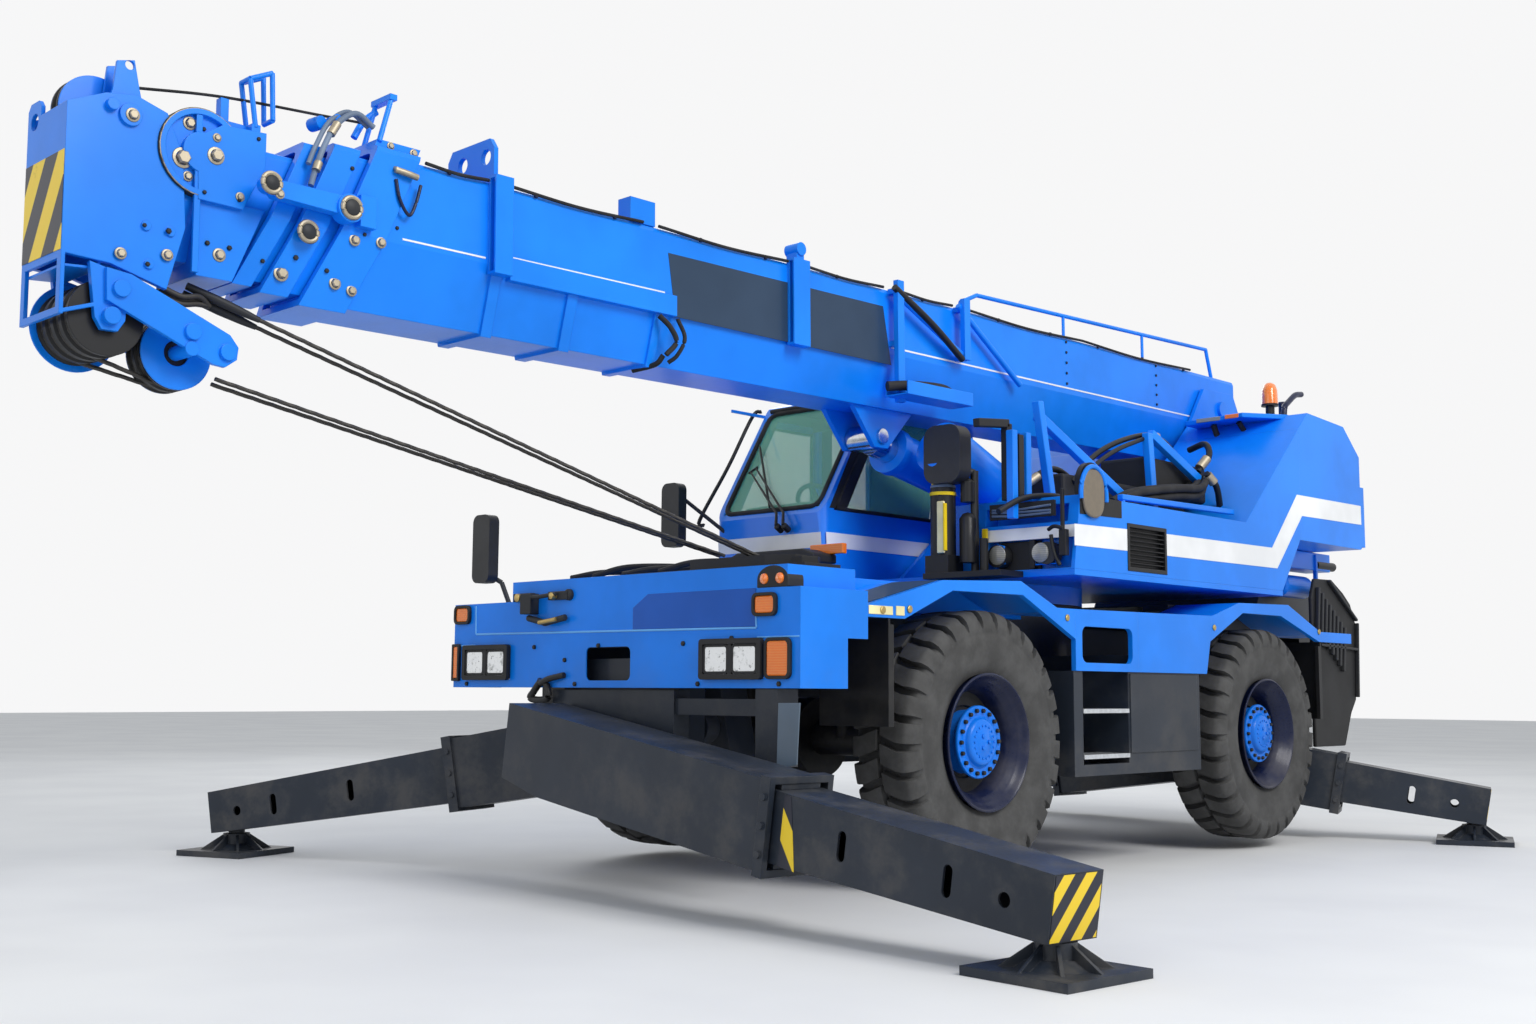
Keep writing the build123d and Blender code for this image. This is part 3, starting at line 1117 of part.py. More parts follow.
def cab_mirrors():
    """Mirror outside the cab's right front corner, and the mirror on a post ahead of the left cover."""
    head = mirror_head(-1400, FA + 270, 2140, 165, 420, 70)
    arm = rod((-1400, FA + 270, 2300), (CAB_X0 + CAB_ROUND + 20, FA + CAB_FRONT + 5, 2030), 13)
    arm -= Pos(0, -FIT, 0) * prism_x(axle_y(CAB_SIDE), CAB_X0, CAB_X1)
    left = mirror_head(490, FA + 730, 2405, 270, 350, 110)
    post = rod((600, FA + 850, UPPER_Z + 35 + FIT), (600, FA + 850, 2310), 24)
    post += rod((600, FA + 850, 2300), (520, FA + 760, 2330), 20)
    return [joined(head, arm), joined(left, post)]


BEACON_X = 600
BEACON_Y = FA + 4690
BEACON_RISE = 188      # shelf above the counterweight's top


def beacon():
    """Amber beacon on a shelf that a bracket holds up from the counterweight's flat top."""
    x, y = BEACON_X, BEACON_Y
    shelf = COUNTER_TOP[0][1] + BEACON_RISE
    seat = COUNTER_TOP[0][1] + (FA + 4400 - COUNTER_TOP[0][0]) * (COUNTER_TOP[1][1] - COUNTER_TOP[0][1]) / (
        COUNTER_TOP[1][0] - COUNTER_TOP[0][0]) + FIT
    bracket = box(x - 50, x + 50, FA + 4400, FA + 4540, seat, seat + 10)
    bracket += box(x - 40, x + 40, FA + 4500, FA + 4516, seat, shelf)
    bracket += box(x - 120, x + 120, FA + 4500, y + 120, shelf - 12, shelf)
    lamp = Pos(x, y, shelf + 18) * Cylinder(66, 38) + Pos(x, y, shelf + 36 + 110) * Cone(60, 50, 222)
    return bracket + lamp


def hook_block():
    """Hook block lying in its tray on the front deck."""
    y0, y1 = FA - 1290, FA - 1030
    tray = box(-60, 1180, y0, y1, DECK_Z + FIT, DECK_Z + 24)
    cheek = prism_z([(380, y0 + 20), (380, y1 - 20), (900, y1 - 20), (1040, y1 - 90), (1040, y0 + 90), (900, y0 + 20)],
                    DECK_Z + 24, DECK_Z + 74)
    hook = prism_z([(1040, y0 + 100), (1040, y0 + 160), (1110, y0 + 190), (1150, y0 + 130), (1110, y0 + 60), (1040, y0 + 60)],
                   DECK_Z + 24, DECK_Z + 60)
    return joined(tray, cheek, hook)


save("carrier_mirrors", carrier_mirrors())
save("cab_mirrors", cab_mirrors())
save("beacon", beacon())
save("hook_block", hook_block())
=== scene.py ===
# %% [markdown]
# # A rough-terrain mobile crane, dressed
#
# The crane's frame, boom, cab, axles and outriggers come ready made from the CAD model, in metres, with the front
# looking along -Y, the machine's left side towards +X and the ground at z = 0. This notebook gives every one of those
# pieces a finish and then adds what a paint shop and a fitter add: tyres with a full tread, lamps, stripes, ropes,
# hoses, bolts, seals and wipers.
#
# Each step has a note first and the code after it. Most shapes are surfaces: a grid of points worked out with numpy
# from a formula in two parameters, then turned into a mesh in one go.

# %% Load the frame
import json
import math

import bpy
import numpy as np
from mathutils import Matrix, Vector


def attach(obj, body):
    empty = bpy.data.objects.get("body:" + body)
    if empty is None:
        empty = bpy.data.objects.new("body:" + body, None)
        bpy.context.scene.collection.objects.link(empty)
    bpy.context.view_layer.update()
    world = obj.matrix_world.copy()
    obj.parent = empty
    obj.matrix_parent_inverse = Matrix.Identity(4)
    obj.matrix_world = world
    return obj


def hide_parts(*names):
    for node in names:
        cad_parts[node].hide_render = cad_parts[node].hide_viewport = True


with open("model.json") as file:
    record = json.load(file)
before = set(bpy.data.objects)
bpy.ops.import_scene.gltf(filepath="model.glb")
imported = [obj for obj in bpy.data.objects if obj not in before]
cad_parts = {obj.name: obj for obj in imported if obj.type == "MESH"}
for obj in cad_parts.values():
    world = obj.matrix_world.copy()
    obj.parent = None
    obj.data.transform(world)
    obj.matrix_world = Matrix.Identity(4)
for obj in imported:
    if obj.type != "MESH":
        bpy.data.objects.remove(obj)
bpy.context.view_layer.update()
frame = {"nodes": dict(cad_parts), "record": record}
NODES = frame["nodes"]
FA = -1.75               # front axle along Y
RA = FA + 3.104          # rear axle

# %% [markdown]
# ## Camera
# A standing person's view from the front left corner, looking slightly up, so that the boom head is close and the
# engine hood is far away. The lens is near a normal one, which keeps the boom's strong perspective.

# %% Camera
CAMERA_AT = (6.234, -8.586, 0.993)
CAMERA_YAW = 43.658      # degrees to the left of +Y
CAMERA_PITCH = 6.428     # degrees up
CAMERA_ROLL = 0.325
CAMERA_LENS = 37.457     # focal length in mm for a picture 36 mm wide
FARTHEST = 300


def new_object(name, data):
    found = bpy.data.objects.new(name, data)
    bpy.context.scene.collection.objects.link(found)
    return found


camera = new_object("camera", bpy.data.cameras.new("camera"))
camera.matrix_world = (Matrix.Translation(CAMERA_AT) @ Matrix.Rotation(math.radians(CAMERA_YAW), 4, "Z")
                       @ Matrix.Rotation(math.radians(90 + CAMERA_PITCH), 4, "X")
                       @ Matrix.Rotation(math.radians(CAMERA_ROLL), 4, "Z"))
camera.data.sensor_width = 36.0
camera.data.lens = CAMERA_LENS
camera.data.clip_end = FARTHEST
bpy.context.scene.camera = camera
print("camera at", CAMERA_AT)

# %% [markdown]
# ## Light
# One wide lamp stands to the machine's left and above, so the left side is bright and the front faces are a shade
# darker. A second, weaker one fills the front and a third lights the far side. The pale room gives the rest.

# %% Light
bpy.context.scene.view_settings.view_transform = "Standard"


def area_lamp(name, at, towards, size, power, colour):
    """A square soft lamp at a place, aimed at a point."""
    lamp = bpy.data.lights.new(name, "AREA")
    lamp.size = size
    lamp.energy = power
    lamp.color = colour
    aim = Vector(towards) - Vector(at)
    turn = aim.to_track_quat("-Z", "Y").to_matrix().to_4x4()
    new_object(name, lamp).matrix_world = Matrix.Translation(at) @ turn


WARM, COOL = (1.0, 0.985, 0.96), (0.95, 0.97, 1.0)
# name, place, aim, width, power in watts, colour
AREA_LAMPS = [("key_lamp", (13, -3, 11), (0, -0.5, 1.5), 7, 1750, WARM),
              ("fill_lamp", (1, -15, 7), (0, -1, 1.5), 8, 260, COOL),
              ("back_lamp", (-10, 8, 9), (0, 0, 1.5), 8, 420, COOL)]
for row in AREA_LAMPS:
    area_lamp(*row)
print("area lamps", len(AREA_LAMPS))

# %% [markdown]
# ## Shader maths
# A finish is easier to read as a formula than as a web of nodes. The class below wraps one socket, so that
# `dust * 0.4 + 0.2` adds its own Math nodes. Everything else comes from one method, `Finish.add`, which takes a node's
# type, its settings and its sockets.

# %% Shader maths
class Value:
    """One number that varies over a surface. Arithmetic on it adds Math nodes."""

    def __init__(self, nodes, socket):
        self.nodes = nodes
        self.socket = socket

    def maths(self, operation, *others):
        return self.nodes.add("ShaderNodeMath", {"operation": operation}, dict(enumerate((self,) + others)))

    def __add__(self, other):
        return self.maths("ADD", other)

    __radd__ = __add__

    def __mul__(self, other):
        return self.maths("MULTIPLY", other)

    __rmul__ = __mul__

    def __sub__(self, other):
        return self.maths("SUBTRACT", other)

    def __rsub__(self, other):
        return self * -1 + other

    def __truediv__(self, other):
        return self.maths("DIVIDE", other)

    def __gt__(self, other):
        return self.maths("GREATER_THAN", other)

    def __lt__(self, other):
        return self.maths("LESS_THAN", other)

    def step(self, low, high):
        """0 below low, 1 above high, smooth between."""
        return self.nodes.add("ShaderNodeMapRange", {"interpolation_type": "SMOOTHSTEP"},
                              {"Value": self, "From Min": low, "From Max": high})


class Nodes:
    """An empty node tree that is filled by `add`."""

    def __init__(self, owner):
        owner.use_nodes = True
        self.tree = owner.node_tree
        self.tree.nodes.clear()

    def plug(self, socket, value):
        if isinstance(value, Value):
            self.tree.links.new(value.socket, socket)
        elif socket.type == "RGBA":
            socket.default_value = (*value, 1)
        else:
            socket.default_value = value

    def add(self, kind, settings=None, sockets=None, out=0):
        """Any node: its type, its settings, its sockets by name or number, and which output is wanted."""
        node = self.tree.nodes.new(kind)
        for key, value in (settings or {}).items():
            setattr(node, key, value)
        for key, value in (sockets or {}).items():
            self.plug(node.inputs[key], value)
        return Value(self, node.outputs[out]) if node.outputs else None


class Finish(Nodes):
    """A material's node tree with its principled shader."""

    def __init__(self, name):
        self.material = bpy.data.materials.new(name)
        super().__init__(self.material)
        self.shader = self.tree.nodes.new("ShaderNodeBsdfPrincipled")
        self.add("ShaderNodeOutputMaterial", {}, {0: Value(self, self.shader.outputs[0])})
        self.place = self.add("ShaderNodeTexCoord", out="Object")

    def noise(self, scale, detail=3.0, rough=0.55):
        return self.add("ShaderNodeTexNoise", {}, {"Vector": self.place, "Scale": scale, "Detail": detail,
                                                   "Roughness": rough})

    def xyz(self):
        node = self.tree.nodes.new("ShaderNodeSeparateXYZ")
        self.plug(node.inputs[0], self.place)
        return [Value(self, socket) for socket in node.outputs]

    def mix(self, share, first, second):
        """first where share is 0, second where it is 1."""
        return self.add("ShaderNodeMix", {"data_type": "RGBA"}, {0: share, 6: first, 7: second}, out=2)

    def bump(self, height, strength, distance, under=None):
        """A normal bent by a height, on top of another normal where one is given."""
        sockets = {"Height": height, "Strength": strength, "Distance": distance}
        if under is not None:
            sockets["Normal"] = under
        return self.add("ShaderNodeBump", {}, sockets)

    def soft_edges(self, radius):
        """Rounded look along sharp edges."""
        return self.add("ShaderNodeBevel", {"samples": 4}, {"Radius": radius})

    def set(self, **sockets):
        """Fills the shader's sockets and hands back the finished material."""
        for key, value in sockets.items():
            self.plug(self.shader.inputs[key.replace("_", " ")], value)
        return self.material


def srgb(r, g, b):
    """A colour written as 0 to 255, made linear."""
    c = np.array([r, g, b]) / 255.0
    return tuple(float(v) for v in np.where(c <= 0.04045, c / 12.92, ((c + 0.055) / 1.055) ** 2.4))


def shade(colour, gain, lift=0.0, top=1.0):
    """gain * colour + lift, held below top."""
    return tuple(min(top, c * gain + lift) for c in colour)


print("shader helpers ready")

# %% [markdown]
# ## Paint and the other finishes
# Sprayed paint on a working machine is not one flat colour: the film has a faint orange peel, a little dust lies on it
# near the ground, and its edges are worn paler. All of it is worked out from the place in the model, so it stays put
# when the crane moves.

# %% Paint
CAB_X = (-1285, -332)    # the cab's two side walls, mm
WALL = 0.036             # thickness of a side wall with its lining
CAB_INSIDE_Z = (1.735, 2.924)    # floor and ceiling of the lined inside
CAB_INSIDE_Y = (FA + 0.577, FA + 2.114)
SCREEN_FROM = 2.11       # height above which the front wall leans back
SCREEN_LEAN = 0.61       # metres back for each metre up
DUST = srgb(128, 122, 112)
DUST_TOP = 1.6           # height where the dust ends
SEE_THROUGH = 0.62       # share of the light that passes straight through the glass
BLUE = (4, 127, 240)


def clouded(f, scale, detail, rough, low, high, first, second):
    """Two colours that drift into each other with a noise: mix(step(noise, low, high), first, second)."""
    return f.mix(f.noise(scale, detail, rough).step(low, high), first, second)


def orange_peel(f, strength, soft):
    """The sprayed film's fine dimples, over rounded edges."""
    return f.bump(f.noise(220, 2, 0.5), strength, 0.0006, soft)


def dust_mask(f):
    """Thin dust, stronger towards the ground, broken up by noise."""
    return (1 - f.xyz()[2].step(0.1, DUST_TOP)) * f.noise(3.5, 5, 0.65).step(0.42, 0.72)


def edge_wear(f, soft):
    """1 where the rounded and the true normal part, which is along edges, broken up by noise."""
    crisp = f.add("ShaderNodeNewGeometry", out="Normal")
    bend = f.add("ShaderNodeVectorMath", {"operation": "DOT_PRODUCT"}, {0: soft, 1: crisp}, out="Value")
    return (1 - bend).step(0.03, 0.3) * f.noise(28, 4, 0.7).step(0.45, 0.7)


def paint(name, colour, roughness=0.32, coat=0.1, dust=0.25, edge=0.35):
    f = Finish(name)
    base = clouded(f, 1.1, 4, 0.6, 0.3, 0.7, shade(colour, 0.88), shade(colour, 1.12, 0.004))
    grime = dust_mask(f)
    base = f.mix(grime * dust, base, DUST)
    soft = f.soft_edges(0.005)
    base = f.mix(edge_wear(f, soft) * edge, base, shade(colour, 1.6, 0.12))
    return f.set(Base_Color=base, Roughness=f.noise(60, 2, 0.5) * 0.08 + grime * 0.25 + (roughness - 0.04),
                 Coat_Weight=coat, Coat_Roughness=0.12, Specular_IOR_Level=0.25, Normal=orange_peel(f, 0.06, soft))


def cab_paint(name, colour, lining):
    """Body paint outside, moulded grey lining on the inner faces, told apart by the place in the shell."""
    f = Finish(name)
    x, y, z = f.xyz()
    left, right = CAB_X[0] / 1000 + WALL, CAB_X[1] / 1000 - WALL
    behind = y - CAB_INSIDE_Y[0] - (z - SCREEN_FROM).maths("MAXIMUM", 0) * SCREEN_LEAN
    inside = (x > left) * (x < right) * (z < CAB_INSIDE_Z[1]) * (z > CAB_INSIDE_Z[0])
    inside = inside * (behind > 0) * (y < CAB_INSIDE_Y[1])
    outer = clouded(f, 1.1, 4, 0.6, 0.3, 0.7, shade(colour, 0.88), shade(colour, 1.12, 0.004))
    inner = clouded(f, 14, 4, 0.6, 0.3, 0.7, shade(lining, 0.8), lining)
    return f.set(Base_Color=f.mix(inside, outer, inner), Roughness=inside * 0.45 + 0.3,
                 Coat_Weight=0.35 - inside * 0.35, Coat_Roughness=0.12,
                 Normal=orange_peel(f, 0.08, f.soft_edges(0.005)))


def rubber(name, colour):
    f = Finish(name)
    cloud = f.noise(6, 5, 0.65)
    return f.set(Base_Color=f.mix(cloud.step(0.35, 0.7), colour, shade(colour, 1.5, 0.012)),
                 Roughness=cloud * 0.15 + 0.68, Normal=f.bump(f.noise(160, 4, 0.7), 0.35, 0.001),
                 Specular_IOR_Level=0.35)


def metal(name, colour, roughness, metallic=1.0, grain=0.15):
    f = Finish(name)
    streak = f.noise(35, 4, 0.6)
    return f.set(Base_Color=f.mix(streak.step(0.3, 0.75), shade(colour, 0.8), colour), Metallic=metallic,
                 Roughness=streak * grain + roughness,
                 Normal=f.bump(f.noise(180, 3, 0.6), 0.12, 0.0008, f.soft_edges(0.003)))


def moulded(name, colour, roughness=0.45):
    f = Finish(name)
    grain = f.noise(240, 3, 0.7)
    return f.set(Base_Color=clouded(f, 5, 3, 0.55, 0.35, 0.7, colour, shade(colour, 1.35, 0.004, top=2)),
                 Roughness=grain * 0.12 + roughness, Normal=f.bump(grain, 0.2, 0.0007, f.soft_edges(0.004)))


def lens(name, colour, alpha):
    """Coloured plastic with fine level ribs: sin(520 z)."""
    f = Finish(name)
    ribs = (f.xyz()[2] * 520).maths("SINE") * 0.5 + 0.5
    return f.set(Base_Color=f.mix(ribs * 0.5, colour, shade(colour, 1.5, 0.03)), Roughness=ribs * 0.1 + 0.12,
                 Coat_Weight=0.6, Normal=f.bump(ribs, 0.3, 0.001), Transmission_Weight=1 - alpha)


def clear_glass(name, colour):
    """Tinted safety glass: part of the light goes straight through, the rest meets a smooth coloured sheet."""
    f = Finish(name)
    smear = f.noise(2.2, 4, 0.6)
    return f.set(Base_Color=f.mix(smear.step(0.3, 0.8), colour, shade(colour, 1.06)), Roughness=smear * 0.05 + 0.02,
                 Alpha=1 - SEE_THROUGH + smear * 0.02)


# name: kind, colour as 0 to 255, settings
RECIPES = {
    "blue_paint": (paint, BLUE, {}),
    "hub_blue": (paint, (4, 118, 232), {"dust": 0.1}),
    "dark_blue_paint": (paint, (10, 22, 56), {"roughness": 0.28}),
    "slate_paint": (paint, (36, 43, 54), {"roughness": 0.38}),
    "white_foil": (paint, (236, 238, 240), {"roughness": 0.35, "edge": 0.0, "dust": 0.15}),
    "slate_panel": (paint, (36, 58, 82), {"roughness": 0.42, "edge": 0.1, "dust": 0.1}),
    "worn_lens": (metal, (132, 122, 108), {"roughness": 0.3, "metallic": 0.4, "grain": 0.5}),
    "label_cream": (moulded, (226, 214, 160), {"roughness": 0.4}),
    # painted highlight: a pale blue for lit folds
    "bright_blue": (paint, (110, 184, 255), {"edge": 0.0, "dust": 0.0}),
    # painted shadow: a darker blue for the shade on the deck's front
    "deep_blue": (paint, (2, 86, 184), {"edge": 0.0}),
    # painted light: a paler copy of the slate paint for lit faces
    "light_slate": (paint, (96, 112, 128), {"roughness": 0.3, "edge": 0.2}),
    "worn_steel": (metal, (176, 166, 146), {"roughness": 0.35, "metallic": 0.9, "grain": 0.3}),
    "hose_grey": (moulded, (96, 112, 134), {"roughness": 0.5}),
    "brass": (metal, (196, 170, 110), {"roughness": 0.35, "metallic": 0.9}),
    "yellow_paint": (paint, (246, 208, 28), {"roughness": 0.4, "dust": 0.1}),
    "deep_black": (moulded, (12, 13, 16), {"roughness": 0.6}),
    "black_steel": (paint, (24, 25, 28), {"roughness": 0.45}),
    "tyre_rubber": (rubber, (60, 60, 60), {}),
    "black_rubber": (rubber, (22, 22, 24), {}),
    "black_plastic": (moulded, (26, 27, 29), {}),
    "amber_plastic": (lens, (255, 120, 0), {"alpha": 0.9}),
    "clear_lens": (lens, (140, 138, 128), {"alpha": 0.9}),
    "lamp_glass": (lens, (220, 226, 230), {"alpha": 0.6}),
    "tinted_glass": (clear_glass, (128, 214, 186), {}),
    "seat_fabric": (moulded, (58, 72, 78), {"roughness": 0.85}),
    "tread_plate": (metal, (222, 226, 230), {"roughness": 0.35}),
    "rope_steel": (metal, (70, 68, 66), {"roughness": 0.5, "metallic": 0.6}),
    "chrome_rod": (metal, (225, 228, 232), {"roughness": 0.08}),
    "cast_steel": (paint, (40, 42, 46), {"roughness": 0.5, "coat": 0.0}),
}
FINISHES = {name: kind(name, srgb(*colour), **settings) for name, (kind, colour, settings) in RECIPES.items()}
for node in NODES.values():
    for slot in node.material_slots:
        wanted = slot.material.name.split(".")[0] if slot.material else ""
        if wanted in FINISHES:
            slot.material = FINISHES[wanted]
        else:
            print("no finish for", node.name, wanted)
NODES["cab_shell"].material_slots[0].material = cab_paint("cab_paint", srgb(*BLUE), srgb(74, 96, 98))
print("finishes", len(FINISHES))

# %% [markdown]
# ## Shapes from formulas
# A surface is a grid of points, one row for each value of the first parameter and one column for each value of the
# second. `patch` turns a grid into faces, and the other functions only work out grids: a profile turned about an axle,
# a circle carried along a path, a flat outline given a thickness.
#
# Places are written in millimetres across, behind the front axle and up. `mm` turns them into points in the frame, and
# `on_boom` does the same for places measured along the stowed boom. `piece` gathers several shapes into one mesh, so
# that a row of bolts is one piece.

# %% Shape tools
PIVOT = (0.0, FA + 4.5, 3.2)     # the boom's foot pin
DROOP = math.radians(0.8)        # the stowed boom's slope
SHARP = math.radians(38)         # folds above this angle stay crisp
RAY_FROM = 620                   # left of everything on the boom's head, mm
LEFT, FORWARD, UP = (1, 0, 0), (0, -1, 0), (0, 0, 1)


def mm(points):
    """Millimetres across, behind the front axle and up, as points in the frame."""
    return np.asarray(points, float) / 1000 + (0, FA, 0)


def on_boom(points):
    """Millimetres across, along and up from the stowed boom's foot pin, as points in the frame."""
    x, y, z = np.moveaxis(np.asarray(points, float), -1, 0)
    c, s = math.cos(DROOP), math.sin(DROOP)
    return np.stack([x / 1000, PIVOT[1] + (y * c - z * s) / 1000, PIVOT[2] + (y * s + z * c) / 1000], -1)


def unit(vector):
    """v / |v|"""
    vector = np.asarray(vector, float)
    return vector / np.linalg.norm(vector, axis=-1, keepdims=True)


def circle(count):
    """Angles of a full turn, the last one short of the first."""
    return np.linspace(0, 2 * np.pi, count, endpoint=False)


def patch(grid, round_u=False, round_v=False):
    """Vertices and quads of a grid of points; round_u or round_v closes it on itself along that parameter."""
    grid = np.asarray(grid, float)
    n, m = grid.shape[:2]
    i, j = np.meshgrid(np.arange(n if round_u else n - 1), np.arange(m if round_v else m - 1), indexing="ij")
    i2, j2 = (i + 1) % n, (j + 1) % m
    quads = np.stack([i * m + j, i2 * m + j, i2 * m + j2, i * m + j2], -1).reshape(-1, 4)
    return grid.reshape(-1, 3), [quads]


def gather(*shapes):
    """Several shapes as one: their vertices in a row, their faces renumbered."""
    points, faces, start = [], [], 0
    for p, f in shapes:
        points.append(p)
        faces += [np.asarray(group) + start for group in f]
        start += len(p)
    return np.concatenate(points), faces


def turned_over(faces):
    """Each face with its corners in the other order, so that it looks the other way."""
    return [group[:, ::-1] for group in faces]


def both(shape):
    """A shape and its mirror image across the middle plane, with faces outwards on both."""
    return gather(shape, mirrored(shape))


def mirrored(shape):
    """x becomes -x."""
    return shape[0] * (-1, 1, 1), turned_over(shape[1])


def frame_of(along):
    """Two unit directions square to a direction, as arrays."""
    along = unit(along)
    side = unit(np.cross(along, np.where(np.abs(along[..., 2:]) > 0.95, (1.0, 0.0, 0.0), (0.0, 0.0, 1.0))))
    return side, np.cross(side, along)


def curve(points, steps=8):
    """A smooth line through points: on each stretch a cubic whose slopes point between the neighbours."""
    p = np.asarray(points, float)
    p = np.concatenate([2 * p[:1] - p[1:2], p, 2 * p[-1:] - p[-2:-1]])
    a, b, c, d = (p[k:len(p) - 3 + k, None] for k in range(4))
    t = np.linspace(0, 1, steps, endpoint=False)[None, :, None]
    line = 0.5 * (2 * b + (c - a) * t + (2 * a - 5 * b + 4 * c - d) * t ** 2 + (3 * b - a - 3 * c + d) * t ** 3)
    return np.concatenate([line.reshape(-1, 3), p[-2:-1]])


def sweep(path, width, sides, closed=False):
    """A circle carried along a path: centre + width * (cos a * side + sin a * up), with both ends drawn in."""
    along = np.roll(path, -1, 0) - np.roll(path, 1, 0) if closed else np.gradient(path, axis=0)
    side, up = frame_of(along)
    turn = circle(sides)[None, :, None]
    rings = path[:, None] + width * (np.cos(turn) * side[:, None] + np.sin(turn) * up[:, None])
    if not closed:
        rings = np.concatenate([np.repeat(path[:1, None], sides, 1), rings, np.repeat(path[-1:, None], sides, 1)])
    return patch(rings, round_u=closed, round_v=True)


def tube(radius, *path, sides=10, closed=False, place=mm):
    """A tube with straight stretches between places, of one radius or of one for each place."""
    path = place(path)
    return sweep(path, np.broadcast_to(np.asarray(radius, float) / 1000, (len(path),))[:, None, None], sides, closed)


def hose(radius, *path, sides=10, steps=8, place=mm):
    """A bent tube through places."""
    return sweep(curve(place(path), steps), radius / 1000, sides)


def boom_hose(radius, *path, sides=10, steps=8):
    """A bent tube through places along the boom."""
    return hose(radius, *path, sides=sides, steps=steps, place=on_boom)


def turned(centre, axis, *profile, turns=24, place=mm):
    """(offset along the axis, radius) rows turned about an axle through centre."""
    profile, axis = np.asarray(profile, float) / 1000, unit(axis)
    side, up = frame_of(axis)
    angle = circle(turns)[:, None, None]
    spoke = np.cos(angle) * side + np.sin(angle) * up
    return patch(place(centre) + profile[None, :, :1] * axis + profile[None, :, 1:] * spoke, round_u=True)


def box(low, high):
    """A box between two corners."""
    (x0, y0, z0), (x1, y1, z1) = mm(low), mm(high)
    p = np.array([(x, y, z) for z in (z0, z1) for y in (y0, y1) for x in (x0, x1)])
    return p, [np.array([(0, 2, 3, 1), (4, 5, 7, 6), (0, 1, 5, 4), (2, 6, 7, 3), (0, 4, 6, 2), (1, 3, 7, 5)])]


def slab(offset, *outline, place=mm):
    """A flat outline of places, given a thickness by an offset."""
    outline = np.asarray(outline, float)
    n = len(outline)
    k = np.arange(n)
    faces = [k[None, ::-1], k[None] + n, np.stack([k, (k + 1) % n, (k + 1) % n + n, k + n], -1)]
    edges = np.roll(outline, -1, 0) - outline
    if np.cross(outline - outline[0], edges).sum(0) @ np.asarray(offset, float) < 0:
        faces = turned_over(faces)
    return place(np.concatenate([outline, outline + offset])), faces


def wall_plate(x, depth, *pairs):
    """A slab on a wall that faces left, from (distance behind the front axle, height) pairs."""
    return slab((depth, 0, 0), *[(x, *pair) for pair in pairs])


def ribbon(upper, lower, lift, place=mm):
    """A band between two lines of places, given a small thickness by an offset."""
    upper, lower, lift = np.asarray(upper, float), np.asarray(lower, float), np.asarray(lift, float)
    points, faces = patch(np.stack([upper, lower, lower + lift, upper + lift], 1), round_v=True)
    last = 4 * len(upper) - 1
    faces.append(np.array([(0, 1, 2, 3), (last, last - 1, last - 2, last - 3)]))
    if np.cross(lower[0] - upper[0], upper[1] - upper[0]) @ lift > 0:
        faces = turned_over(faces)
    return place(points), faces


def bar(width, depth, a, b):
    """A straight square tube between two places."""
    a, b = mm(a), mm(b)
    high = np.cross(unit(b - a), LEFT)
    corners = [a + np.array(LEFT) * i * depth / 2000 + high * j * width / 2000
               for i, j in ((-1, -1), (1, -1), (1, 1), (-1, 1))]
    return slab(b - a, *corners, place=np.asarray)


def studs(places, axis, radius, height, sides=6):
    """Bolt heads: a small prism with a chamfered top at each point, all worked out in one array."""
    places = np.asarray(places, float).reshape(-1, 3)
    side, up = frame_of(axis)
    turn = circle(sides)[:, None]
    rim = np.cos(turn) * side + np.sin(turn) * up
    levels = [(1.0, 0.0), (1.0, 0.7), (0.8, 1.0), (0.0, 1.0)]
    one = np.stack([(rim * radius * r + unit(axis) * height * h) / 1000 for r, h in levels])
    starts = np.arange(len(places))[:, None, None] * len(levels) * sides
    quads = patch(one, round_v=True)[1][0]
    return (places[:, None, None] + one[None]).reshape(-1, 3), [(quads[None] + starts).reshape(-1, 4)]


def rounded(low, high, radius, count=6):
    """Corners of a rectangle in two coordinates, each corner a quarter circle of points."""
    (a0, b0), (a1, b1) = low, high
    found = []
    for quarter, (a, b) in enumerate(((a1 - radius, b1 - radius), (a0 + radius, b1 - radius),
                                      (a0 + radius, b0 + radius), (a1 - radius, b0 + radius))):
        turn = np.linspace(0, np.pi / 2, count) + quarter * np.pi / 2
        found.append(np.stack([a + radius * np.cos(turn), b + radius * np.sin(turn)], -1))
    return np.concatenate(found)


def piece(name, finish, body, *shapes, smooth=False, stands_for=(), edge=0.0):
    """Makes one mesh object of the shapes, gives it a finish and lets it ride on its body. edge rounds its folds."""
    points, groups = gather(*shapes)
    mesh = bpy.data.meshes.new(name)
    mesh.from_pydata(points.tolist(), [], [face for group in groups for face in group.tolist()])
    mesh.materials.append(FINISHES[finish] if isinstance(finish, str) else finish)
    mesh.validate()
    if smooth:
        mesh.polygons.foreach_set("use_smooth", np.ones(len(mesh.polygons), bool))
        mesh.set_sharp_from_angle(angle=SHARP)
    found = new_object(name, mesh)
    if edge:
        rounding = found.modifiers.new("edge", "BEVEL")
        rounding.width = edge / 1000
        rounding.segments = 2
        rounding.limit_method = "ANGLE"
    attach(found, body)
    if stands_for:
        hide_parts(*stands_for)
    isinstance(finish, str) and finish in SLOTS
    return found


BODY_OF = {node: body for body, names in frame["record"]["behaviour"]["bodies"].items() for node in names}
SLOTS = {row["slot"] for row in frame["record"]["materials"]}
bpy.context.view_layer.update()


